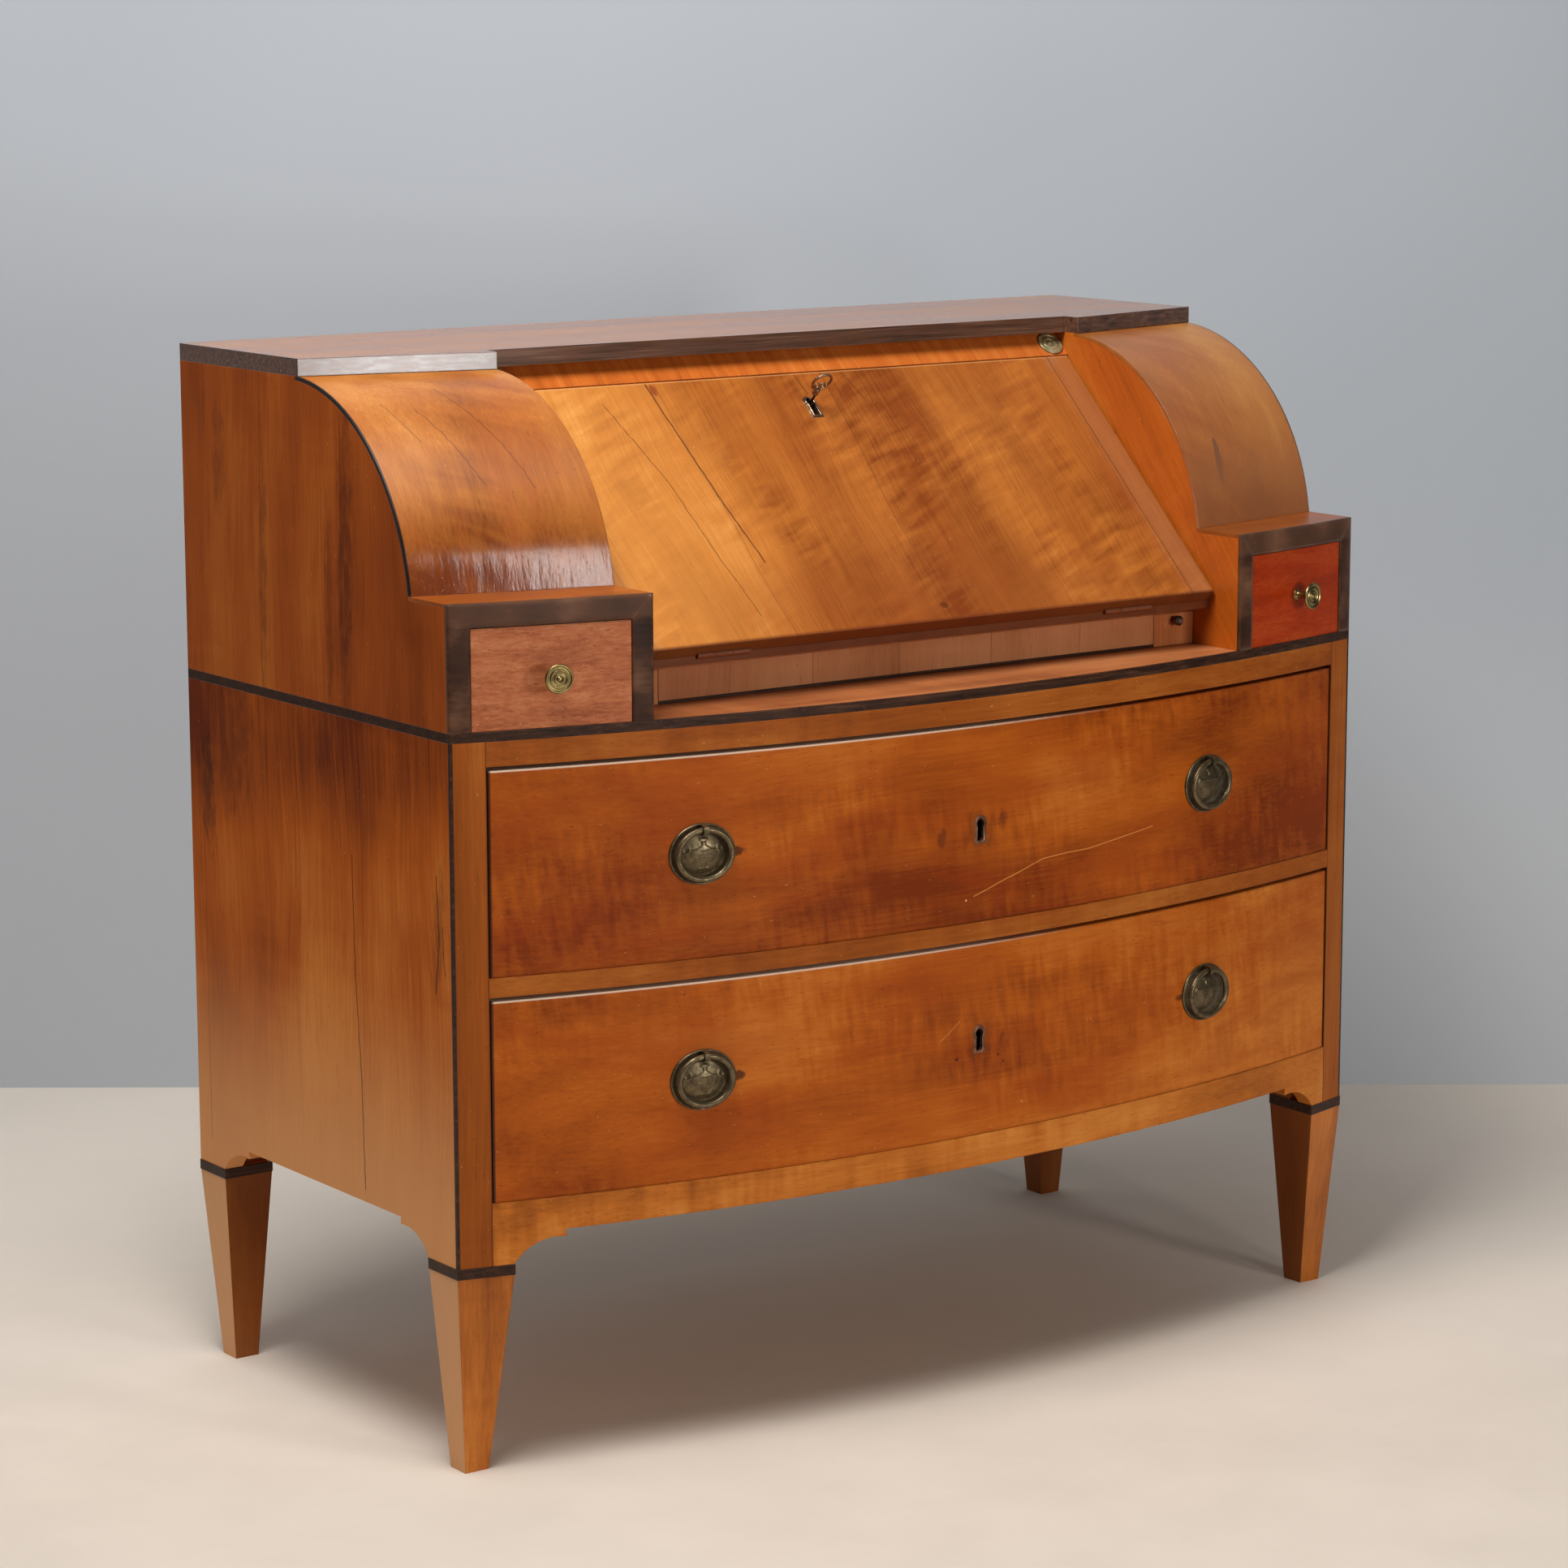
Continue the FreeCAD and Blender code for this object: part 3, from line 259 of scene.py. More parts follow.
def grain_axes(f, grain, across):
    """Places along the grain, across it and through the wood."""
    return f.along(grain), f.along(across), f.along(grain.cross(across))


def wood(name, grain, across, colours, seed, bands, figure, cloud, wave=0.012, gloss=(0.3, 0.46), coat=0.12,
         edge=0.35, pores=0.35, seams=(), fades=(), marks=None, shine=0.14, bevel=1.2, contrast=0.7, rim=0.25,
         fine=0.3, slant=0.0, blush=None, polish=0.14, curls=(46.0, 6.0), gleams=()):
    """A polished veneer with its grain along one direction: bands, fibres, pores, figure and worn arrises.

    seams are (place across the grain, tone after it), fades (direction, from, to, tone), gleams (direction,
    from, to, share of the roughness), blush (colour, strength), curls the figure's fineness along and across.
    marks is a call that adds the piece's own scars, and on some pieces painted light and shade.
    """
    f = Finish(name)
    g, a, n = grain_axes(f, grain, across)
    bent = f.lift(a, f.grained((g, a, n), (2.1, 3.3, 3.0), seed, 2.0), wave * 2)
    band = f.grained((g, bent, n), (1.3, bands, bands), seed + 3.1, 5.0, 0.62)
    fibre = f.grained((g, bent, n), (9.0, 330.0, 330.0), seed, 3.0, 0.6)
    pore = f.grained((g, bent, n), (38.0, 850.0, 850.0), seed, 1.0)
    mist = f.grained((g, a, n), (3.4, 6.5, 6.5), seed + 7.7, 3.0, 0.55)
    cos, sin = math.cos(slant), math.sin(slant)
    ripple = f.sum("MULTIPLY_ADD", g, curls[0] * cos, f.times(a, curls[0] * sin))
    length = f.sum("MULTIPLY_ADD", a, curls[1] * cos, f.times(g, -curls[1] * sin))
    curl = f.noise(f.place(ripple, length, f.sum("MULTIPLY_ADD", n, 6.0, seed + 1.9)), 2.0, 0.5, 0.3)
    gate = f.grained((g, a, n), (4.2, 9.0, 9.0), seed + 21.0, 2.0)
    curl = f.times(f.sum("SUBTRACT", curl, 0.5), f.ease(gate, 0.38, 0.64, 0.15, 1.5))
    level = f.lift(0.5, band, contrast)
    level = f.lift(level, mist, cloud * 2)
    level = f.lift(level, fibre, fine)
    level = f.sum("MULTIPLY_ADD", curl, figure, level)
    for where, step in seams:
        level = f.sum("MULTIPLY_ADD", f.ease(bent, where - 0.5 * MM, where + 0.5 * MM), step, level)
    for direction, start, end, step in fades:
        level = f.sum("MULTIPLY_ADD", f.ease(f.along(direction), start, end), step, level)
    dark, middle, light = colours
    colour = f.ramp(level, (0.14, dark), (0.5, middle), (0.86, light))
    if blush:
        flush = f.grained((g, a, n), (5.0, 17.0, 9.0), seed + 12.3, 4.0, 0.6, 0.5)
        colour = f.tint(f.ease(flush, 0.42, 0.68, 0.0, blush[1]), colour, blush[0])
    speck = f.grained((g, a, n), (160.0, 420.0, 420.0), seed + 5.0, 1.0)
    colour = f.tint(f.ease(speck, 0.74, 0.8, 0.0, 0.55), colour, tone(62, 26, 10))
    colour = f.tint(f.ease(speck, 0.235, 0.2, 0.0, 0.4), colour, tone(232, 170, 104))
    for where, _ in seams:
        seam = f.ease(f.sum("ABSOLUTE", f.sum("SUBTRACT", bent, where)), 0.7 * MM, 0.2 * MM)
        colour = f.tint(f.times(seam, 0.5), colour, tone(58, 26, 10))
    hole = f.ease(pore, 0.66, 0.74)
    colour = f.tint(f.times(hole, pores), colour, tone(66, 28, 10))
    worn, rounded = f.edges(bevel * MM)
    ragged = f.ease(f.solid(45.0, 3.0, 0.6), 0.42, 0.6)
    colour = f.tint(f.times(worn, f.times(ragged, edge)), colour, tone(70, 34, 14))
    height = f.sum("MULTIPLY_ADD", fibre, 0.35, f.times(hole, -0.5))
    rough = f.ease(f.sum("MULTIPLY_ADD", mist, 0.6, f.times(band, 0.4)), 0.3, 0.7, *gloss)
    for direction, start, end, factor in gleams:
        rough = f.times(rough, f.ease(f.along(direction), start, end, 1.0, factor))
    if marks:
        colour, height = marks(f, colour, height)
    lustre = f.sum("MULTIPLY_ADD", worn, rim, coat, clamp=True)
    f.set(Base_Color=colour, Roughness=rough, Coat_Weight=lustre, Coat_Roughness=polish,
          Specular_IOR_Level=shine)
    f.relief(height, 0.16, 0.5 * MM, rounded)
    f.feed(f.shader.inputs["Coat Normal"], rounded)
    return f.material


def metal(name, bright, dull, dirt, gloss=(0.26, 0.5), grain=900.0, grime=0.55, shine=1.0):
    """An old metal: polished where hands rub it, dull in the hollows, with fine pitting."""
    f = Finish(name)
    fine = f.solid(grain, 4.0, 0.6)
    broad = f.solid(140.0, 3.0, 0.6)
    worn, rounded = f.edges(0.5 * MM)
    hollow = f.add("ShaderNodeAmbientOcclusion", samples=4)
    hollow.inputs["Distance"].default_value = 4 * MM
    shade = f.ease(hollow.outputs["AO"], 0.95, 0.45)
    colour = f.tint(f.ease(broad, 0.35, 0.68), bright, dull)
    colour = f.tint(f.times(f.ease(fine, 0.5, 0.72), 0.45), colour, dirt)
    colour = f.tint(f.times(shade, grime), colour, dirt)
    colour = f.tint(f.times(worn, 0.5), colour, bright)
    mixed = f.sum("MULTIPLY_ADD", fine, 0.5, f.times(broad, 0.5))
    rough = f.ease(mixed, 0.35, 0.65, *gloss)
    f.set(Base_Color=colour, Metallic=shine, Roughness=rough)
    f.relief(f.sum("MULTIPLY_ADD", fine, 0.6, f.times(broad, 0.4)), 0.25, 0.3 * MM, rounded)
    return f.material


def ebonised(name, grain, across, stain, seed, gloss, wear, coat, shine=0.3, bevel=1.3, chips=0.0, blotch=0.0,
             crest=None):
    """Black-stained wood, rubbed through to brown on its arrises and in spots.

    blotch trades grain for soft patches, and above the crest the wood is paler, a painted highlight.
    """
    f = Finish(name)
    g, a, n = grain_axes(f, grain, across)
    streak = f.grained((g, a, n), (7.0, 260.0, 260.0), seed, 4.0, 0.62)
    patch = f.grained((g, a, n), (16.0, 55.0, 55.0), seed, 4.0, 0.6)
    worn, rounded = f.edges(bevel * MM)
    level = f.sum("MULTIPLY_ADD", f.solid(17.0, 2.0, 0.45), blotch, f.times(streak, 1 - blotch))
    dark, middle, light = stain
    colour = f.ramp(level, (0.3, dark), (0.55, middle), (0.8, light))
    # painted highlight: paler above the crest
    if crest:
        paler = f.ease(f.along(Z), crest, crest + 6 * MM, 0.0, 0.32)
        colour = f.tint(paler, colour, tone(118, 82, 62))
    colour = f.tint(f.times(f.ease(patch, 0.5, 0.68), wear * 0.5), colour, tone(104, 64, 40))
    bare = f.times(f.times(worn, f.ease(patch, 0.36, 0.6)), wear)
    colour = f.tint(bare, colour, tone(150, 92, 52))
    if chips:
        chip = f.ease(f.solid(160.0, 4.0, 0.7), 0.6, 0.66, 0.0, chips)
        colour = f.tint(chip, colour, tone(150, 82, 36))
    height = f.sum("MULTIPLY_ADD", streak, 0.5, f.times(patch, 0.3))
    rough = f.ease(streak, 0.3, 0.7, *gloss)
    lustre = f.sum("MULTIPLY_ADD", worn, 0.7, coat, clamp=True)
    f.set(Base_Color=colour, Roughness=rough, Coat_Weight=lustre, Coat_Roughness=0.16,
          Specular_IOR_Level=shine)
    f.relief(height, 0.2, 0.4 * MM, rounded)
    f.feed(f.shader.inputs["Coat Normal"], rounded)
    return f.material


def metals():
    """The desk's metals by name."""
    return {
        "gilt": metal("gilt_brass", tone(170, 150, 100), tone(130, 112, 70), tone(56, 44, 25), (0.26, 0.4),
                      grain=1500.0, grime=0.8),
        "plate": metal("plate_brass", tone(176, 164, 122), tone(134, 122, 84), tone(62, 52, 32), (0.3, 0.46),
                       grime=0.85, shine=0.5),
        "bronze": metal("aged_bronze", tone(116, 101, 73), tone(84, 71, 51), tone(32, 25, 18), (0.28, 0.46),
                        grime=0.9, shine=0.75),
        "steel": metal("key_steel", tone(178, 148, 120), tone(120, 92, 70), tone(48, 30, 20), (0.22, 0.42)),
        "worn": metal("worn_steel", tone(150, 112, 90), tone(104, 72, 54), tone(44, 26, 18), (0.28, 0.46)),
        "iron": metal("iron", tone(120, 112, 104), tone(78, 70, 62), tone(44, 32, 24), (0.35, 0.6)),
        "brown": metal("browned_iron", tone(132, 70, 34), tone(118, 60, 28), tone(100, 50, 24), (0.5, 0.7),
                       grime=0.2, shine=0.1),
    }


def dress(material, *names):
    for name in names:
        slots = NODES[name].data.materials
        slots.clear()
        slots.append(material)


def front_plane(f):
    return f.along(X), f.along(Z)


def side_plane(f):
    return f.along(Y), f.along(Z)


def top_plane(f):
    return f.along(X), f.along(Y)


def fall_plane(f):
    return f.along(X), f.sum("SUBTRACT", f.along(UPHILL), UPHILL.dot(HINGE))


def scratch(points, width, wander, ink, strength):
    """A crack, scratch or joint, or a line of painted shade, through points of a face."""
    def draw(f, u, v, colour, height):
        mask = f.stroke(u, v, points, width, wander)
        colour = f.tint(f.times(mask, strength), colour, ink)
        return colour, f.sum("MULTIPLY_ADD", mask, -0.7 * strength, height)
    return draw


def blot(centre, radii, soft, ink, strength, turn=0.0):
    """An oval stain, or an oval of painted shade, on a face."""
    def draw(f, u, v, colour, height):
        mask = f.spot(u, v, centre, radii, soft, turn)
        return f.tint(f.times(mask, strength), colour, ink), height
    return draw


def keyhole_painted_shade(eye):
    """Painted shade for the darkness inside a keyhole, from the height of its eye."""
    return blot((0.0, eye - KEYHOLE_DROP), (6.5 * MM, 14.5 * MM), 0.25, PAINTED_HOLE_SHADE, 0.95)


def scars(plane, *steps):
    """A call that draws scratches and blots on one face of a piece."""
    def apply(f, colour, height):
        u, v = plane(f)
        for draw in steps:
            colour, height = draw(f, u, v, colour, height)
        return colour, height
    return apply


def lower_side_marks(f, colour, height):
    """The lower sides grow paler towards the floor, are cracked along the grain and stained."""
    colour = f.tint(f.ease(f.along(Z), 0.5, 0.24, 0.0, 0.8), colour, tone(228, 164, 108))
    return scars(
        side_plane,
        scratch(((-0.031, 0.615), (-0.034, 0.49), (-0.043, 0.375), (-0.046, 0.265)), 0.0013, 0.004,
                DARK_SCAR, 0.75),
        scratch(((0.008, 0.735), (-0.01, 0.62)), 0.0009, 0.003, DARK_SCAR, 0.5),
        scratch(((0.083, 0.66), (0.085, 0.56)), 0.0009, 0.003, DARK_SCAR, 0.45),
        scratch(((0.2825, 0.75), (0.2825, 0.25)), 0.0009, 0.001, DARK_SCAR, 0.5),
        scratch(((-0.196, 0.62), (-0.2, 0.55), (-0.192, 0.5)), 0.0016, 0.006, DARK_SCAR, 0.7),
        scratch(((-0.206, 0.57), (-0.21, 0.52)), 0.0012, 0.005, DARK_SCAR, 0.6),
        blot((0.27, 0.64), (0.02, 0.09), 1.0, GRIME_AND_GAP_SHADE, 0.6),
        blot((-0.2, 0.56), (0.014, 0.09), 1.0, GRIME_AND_GAP_SHADE, 0.4, turn=0.1),
        blot((0.02, 0.72), (0.03, 0.05), 1.0, BROWN_STAIN, 0.45),
        blot((0.215, 0.71), (0.06, 0.12), 1.0, BROWN_STAIN, 0.5))(f, colour, height)


def edge_light(top, until, then):
    """A painted highlight along the top edge of a drawer's front, up to a place along it, before its other
    marks.
    """
    def apply(f, colour, height):
        x, z = f.along(X), f.along(Z)
        broken = f.noise(f.place(f.times(x, 30.0), 0.0), 3.0)
        edge = f.ease(z, top - 2.2 * MM, top - 0.8 * MM)
        reach = f.ease(f.sum("MULTIPLY_ADD", broken, 0.14, x), until + 0.2, until - 0.1)
        # painted highlight along the top arris, fading out along the edge
        colour = f.tint(f.times(f.times(edge, reach), 0.75), colour, PAINTED_EDGE_HIGHLIGHT)
        return then(f, colour, height)
    return apply


def bed_marks(f, colour, height):
    """The writing bed's front edge is darker."""
    return f.tint(f.ease(f.along(Y), -0.2, -0.212, 0.0, 0.75), colour, tone(80, 34, 16)), height


def shoulder_marks_and_shade(f, colour, height):
    """A black string on the outer arrises, cracks on the left shoulder; on the right a lozenge patch, painted
    shade and, low down, painted light.
    """
    x, y, z = f.along(X), f.along(Y), f.along(Z)
    outer = f.ease(f.sum("ABSOLUTE", x), HALF_WIDTH - 2.2 * MM, HALF_WIDTH - 1.4 * MM)
    colour = f.tint(outer, colour, tone(34, 22, 16))
    patch = f.spot(x, z, (0.448, 0.965), (0.0055, 0.027), 0.25, -0.15)
    colour = f.tint(f.times(patch, 0.75), colour, tone(72, 50, 38))
    # painted light low on the right shoulder, then painted shade over the whole right shoulder
    painted_light_low_right = f.times(f.ease(x, -0.01, 0.01), f.ease(z, 1.02, 0.92, 0.0, 0.4))
    colour = f.tint(painted_light_low_right, colour, tone(206, 138, 84))
    colour = f.tint(f.ease(x, -0.01, 0.01, 0.0, 0.18), colour, tone(120, 70, 40))
    wavy = f.noise(f.place(f.times(x, 55.0), f.times(z, 12.0), f.times(y, 12.0)), 5.0, 0.55)
    height = f.sum("MULTIPLY_ADD", wavy, 3.0, height)
    up = f.sum("ADD", z, y)
    for points in (((-0.53, 1.02), (-0.5, 0.86)), ((-0.49, 1.06), (-0.45, 0.84)),
                   ((-0.56, 1.04), (-0.545, 0.95))):
        crack = f.stroke(x, up, points, 0.0011, 0.005)
        colour = f.tint(f.times(crack, 0.55), colour, tone(86, 40, 16))
    return colour, height


def stile_gap_shade(f, colour, height):
    """Painted shade of the gaps beside the drawers, along the stiles' inner edges."""
    inner = f.ease(f.sum("ABSOLUTE", f.along(X)), 0.5662, 0.564)
    return f.tint(f.times(inner, 0.6), colour, GRIME_AND_GAP_SHADE), height


def leg_light_and_shade(f, colour, height):
    """Painted light and shade: the legs' outer sides lighter, the faces turned under the desk and the back
    legs' fronts darker.
    """
    normal = f.normal()
    outward = f.times(f.dot(normal, X), f.sum("SIGN", f.along(X)))
    # painted light on the outer sides and painted shade on the inner sides
    colour = f.tint(f.ease(outward, 0.5, 0.9, 0.0, 0.78), colour, tone(230, 174, 120))
    colour = f.tint(f.ease(outward, -0.5, -0.9, 0.0, 0.65), colour, tone(104, 50, 18))
    # painted shade on the fronts of the back legs
    rear = f.times(f.ease(f.dot(normal, Y), -0.5, -0.9), f.ease(f.along(Y), 0.1, 0.2, 0.0, 0.75))
    return f.tint(rear, colour, tone(100, 48, 18)), height


def red_marks(f, colour, height):
    """Bruised, rubbed and pale-flecked grain of the small drawers' fronts."""
    place = f.place(f.times(f.along(X), 120.0), f.times(f.along(Z), 760.0), f.times(f.along(Y), 120.0))
    fleck = f.noise(place, 3.0, 0.65)
    colour = f.tint(f.times(f.ease(fleck, 0.56, 0.7), 0.22), colour, tone(222, 160, 116))
    colour = f.tint(f.times(f.ease(fleck, 0.4, 0.28), 0.5), colour, tone(92, 30, 12))
    return colour, height


def dress_lower_case():
    dress(wood("lower_side_veneer", Z, Y, LOWER_CHERRY, seed=1.3, bands=12.0, figure=0.12, cloud=0.4, wave=0.03,
               seams=((0.0767, -0.05), (-0.048, 0.03)), fades=((Z, 0.66, 0.3, 0.16), (Z, 0.58, 0.72, -0.3)),
               shine=0.06, coat=0.03, fine=0.36, marks=lower_side_marks), "lower_sides")
    dress(wood("stile_veneer", Z, X, RAIL_BROWN, seed=2.2, bands=26.0, figure=0.14, cloud=0.25, wave=0.01,
               coat=0.05, shine=0.08, marks=stile_gap_shade), "front_stiles")
    dress(wood("top_rail_veneer", X, Z, RAIL_BROWN, seed=3.4, bands=40.0, figure=0.25, cloud=0.35, wave=0.008,
               coat=0.05, shine=0.08), "top_rail", "middle_rail")
    dress(wood("apron_veneer", X, Z, GOLDEN, seed=5.4, bands=24.0, figure=0.62, cloud=0.4, wave=0.01,
               coat=0.05, shine=0.08), "apron")
    dress(wood("leg_veneer", Z, Vector((0.7, 0.7, 0)), GOLDEN, seed=12.5, bands=30.0, figure=0.2, cloud=0.35,
               marks=leg_light_and_shade), "legs")
    dress(wood("shelf_veneer", X, Y, SHADY, seed=3.9, bands=20.0, figure=0.25, cloud=0.4), "shelf_board")


def dress_long_drawers():
    polished = dict(coat=0.06, shine=0.08, bevel=5.0, curls=(95.0, 20.0), slant=0.12, edge=0.1, contrast=0.8,
                    rim=0.94, polish=0.1, blush=(tone(150, 58, 12), 0.42))
    long_scratch = ((-0.0082, 0.5458), (0.0333, 0.5587), (0.0877, 0.575), (0.1198, 0.5771), (0.1523, 0.5778),
                    (0.1944, 0.5828), (0.2506, 0.5898))
    upper = scars(
        front_plane,
        scratch(long_scratch, 0.0008, 0.005, tone(232, 152, 76), 0.7),
        blot((0.0, 0.614), (0.03, 0.034), 1.0, GRIME_AND_GAP_SHADE, 0.35),
        keyhole_painted_shade(UPPER_KEYHOLE),
        blot((-0.298, 0.6258), (0.012, 0.0065), 0.6, GRIME_AND_GAP_SHADE, 0.8),
        blot((-0.05, 0.612), (0.011, 0.016), 1.0, RED_STAIN, 0.6),
        blot((0.032, 0.622), (0.01, 0.014), 1.0, RED_STAIN, 0.5),
        blot((-0.0185, 0.5425), (0.0013, 0.0013), 0.6, tone(244, 190, 130), 0.9),
        # a line of painted shade for the gap at the drawer front's left edge
        scratch(((-0.5612, 0.52), (-0.5612, 0.73)), 0.0022, 0.0, GRIME_AND_GAP_SHADE, 0.8),
        blot((-0.42, 0.6), (0.1, 0.07), 1.0, tone(120, 40, 10), 0.35))
    dress(wood("drawer_veneer_upper", X, Z, CHERRY, seed=6.4, bands=11.0, figure=0.34, cloud=0.5, wave=0.02,
               fades=((Z, 0.64, 0.56, -0.16), (Z, 0.0, 0.1, -0.07)), marks=edge_light(UPPER_TOP, 0.1, upper),
               **polished), "upper_drawer_front")
    lower = scars(
        front_plane,
        blot((0.0, 0.388), (0.026, 0.034), 1.0, GRIME_AND_GAP_SHADE, 0.4),
        keyhole_painted_shade(LOWER_KEYHOLE),
        blot((-0.298, 0.3905), (0.012, 0.0065), 0.6, GRIME_AND_GAP_SHADE, 0.8),
        blot((0.299, 0.3905), (0.009, 0.005), 0.6, GRIME_AND_GAP_SHADE, 0.7),
        blot((0.036, 0.386), (0.01, 0.016), 1.0, RED_STAIN, 0.45),
        scratch(((-0.052, 0.394), (-0.04, 0.402), (-0.026, 0.413)), 0.0007, 0.002, tone(214, 140, 74), 0.6),
        # a line of painted shade for the gap at the drawer front's left edge
        scratch(((-0.5612, 0.288), (-0.5612, 0.497)), 0.0022, 0.0, GRIME_AND_GAP_SHADE, 0.8),
        blot((-0.03, 0.372), (0.002, 0.002), 0.5, GRIME_AND_GAP_SHADE, 0.9),
        blot((0.026, 0.37), (0.0016, 0.0016), 0.5, GRIME_AND_GAP_SHADE, 0.9),
        blot((0.033, 0.362), (0.0014, 0.0014), 0.5, GRIME_AND_GAP_SHADE, 0.9))
    dress(wood("drawer_veneer_lower", X, Z, CHERRY, seed=9.1, bands=10.0, figure=0.34, cloud=0.5, wave=0.022,
               fades=((X, 0.15, 0.45, 0.14),), marks=edge_light(LOWER_TOP, 0.04, lower), **polished),
          "lower_drawer_front")


def dress_fall():
    marks = scars(
        fall_plane,
        blot((-0.4, 0.2), (0.3, 0.5), 1.0, tone(230, 172, 92), 0.2),
        scratch(((-0.1967, 0.354), (-0.188, 0.25), (-0.1796, 0.16), (-0.172, 0.1)), 0.0014, 0.004,
                tone(70, 36, 22), 0.85),
        scratch(((-0.262, 0.33), (-0.235, 0.22), (-0.225, 0.12), (-0.212, 0.03)), 0.001, 0.004,
                tone(90, 46, 20), 0.7),
        scratch(((0.0, 0.354), (0.004, 0.325)), 0.0011, 0.002, DARK_SCAR, 0.6),
        scratch(((0.064, 0.354), (0.075, 0.31)), 0.0011, 0.002, DARK_SCAR, 0.55),
        blot((-0.19, 0.345), (0.005, 0.01), 0.7, tone(120, 44, 24), 0.7),
        # a pale line along the fall's top edge
        scratch(((-0.386, 0.3548), (0.386, 0.3548)), 0.0012, 0.001, PALE_EDGE_LINE, 0.35),
        scratch(((0.372, 0.36), (0.372, 0.0)), 0.03, 0.0, tone(150, 104, 72), 0.32),
        scratch(((-0.372, 0.36), (-0.372, 0.0)), 0.03, 0.0, tone(160, 112, 76), 0.3),
        scratch(((-0.39, -0.001), (0.39, -0.001)), 0.006, 0.0, tone(84, 36, 18), 0.8),
        scratch(((0.357, 0.36), (0.357, 0.0)), 0.0009, 0.001, DARK_SCAR, 0.45),
        scratch(((-0.357, 0.36), (-0.357, 0.0)), 0.0009, 0.001, DARK_SCAR, 0.35),
        keyhole_painted_shade(FALL_KEYHOLE),
        blot((0.02, 0.02), (0.006, 0.005), 0.7, GRIME_AND_GAP_SHADE, 0.7),
        blot((0.0, 0.03), (0.32, 0.11), 1.0, tone(120, 54, 22), 0.35))
    dress(wood("fall_veneer", UPHILL, X, FALL_CHERRY, seed=11.7, bands=9.0, figure=0.4, cloud=0.24, wave=0.035,
               seams=((-0.19, -0.05), (0.02, -0.03)), fades=((X, -0.25, -0.02, -0.17), (X, 0.08, 0.3, 0.15)),
               contrast=0.6, slant=-0.4, blush=(tone(164, 80, 26), 0.2), curls=(75.0, 17.0), marks=marks),
          "fall_panel")
    dress(wood("fall_rail_veneer", UPHILL, X, FALL_RAIL_CHERRY, seed=2.8, bands=52.0, figure=0.1, cloud=0.3,
               wave=0.02), "fall_rail")


def dress_upper_case():
    marks = scars(
        side_plane,
        blot((-0.03, 0.93), (0.022, 0.2), 1.0, SIDE_STAIN, 0.55, turn=0.03),
        blot((0.005, 0.86), (0.012, 0.16), 1.0, SIDE_STREAK, 0.42),
        blot((0.14, 0.9), (0.012, 0.2), 1.0, SIDE_STREAK, 0.4, turn=0.02),
        blot((0.23, 1.0), (0.02, 0.09), 1.0, tone(70, 26, 14), 0.36))
    dress(wood("upper_side_veneer", Z, Y, SIDE_CHERRY, seed=4.2, bands=13.0, figure=0.1, cloud=0.36, wave=0.026,
               shine=0.06, coat=0.03, fades=((Y, 0.16, 0.0, -0.1),), seams=((0.1365, -0.04), (-0.02, 0.04)),
               marks=marks), "upper_sides")
    # the shoulders' fade to darker towards their foot is painted shade
    dress(wood("shoulder_veneer", SHOULDER_GRAIN, X, SHOULDER_CHERRY, seed=8.8, bands=11.0, figure=0.42,
               cloud=0.36, wave=0.02, gloss=(0.32, 0.44), coat=0.0, gleams=((Z, 0.98, 0.915, 0.24),),
               fades=((Z, 1.0, 0.9, -0.3),), marks=shoulder_marks_and_shade, shine=0.55, contrast=0.62, slant=0.5,
               blush=(tone(160, 74, 24), 0.3)), "shoulders")
    dress(wood("cheek_veneer", SHOULDER_GRAIN, Vector((0, 0.8, -0.6)), CHEEK_CHERRY, seed=7.2, bands=10.0,
               figure=0.12, cloud=0.4, wave=0.02), "cheeks")
    dress(wood("box_top_veneer", X, Y, RAIL_BROWN, seed=1.7, bands=22.0, figure=0.2, cloud=0.3), "box_tops")
    marks = scars(
        top_plane,
        scratch(((-0.4626, 0.2403), (-0.44, 0.215)), 0.0012, 0.001, GRIME_AND_GAP_SHADE, 0.7),
        scratch(((-0.395, 0.235), (-0.375, 0.215)), 0.001, 0.001, GRIME_AND_GAP_SHADE, 0.6),
        scratch(((0.2978, 0.105), (0.2978, 0.3)), 0.001, 0.001, GRIME_AND_GAP_SHADE, 0.5))
    dress(wood("top_veneer", X, Y, TOP_CHERRY, seed=10.2, bands=18.0, figure=0.15, cloud=0.3, wave=0.015,
               gloss=(0.22, 0.36), coat=0.45, shine=0.3, marks=marks), "top_board")
    dress(wood("red_wood", X, Z, REDDISH, seed=14.4, bands=60.0, figure=0.05, cloud=0.14, wave=0.006,
               gloss=(0.34, 0.55), coat=0.06, edge=0.3, pores=0.6, marks=red_marks, contrast=0.8, fine=0.55),
          "left_drawer_front", "left_inner_drawer", "right_inner_drawer")
    dress(wood("deep_red_wood", X, Z, DEEP_RED, seed=17.9, bands=38.0, figure=0.1, cloud=0.3, wave=0.006,
               gloss=(0.34, 0.55), coat=0.1, edge=0.3, pores=0.5), "right_drawer_front")


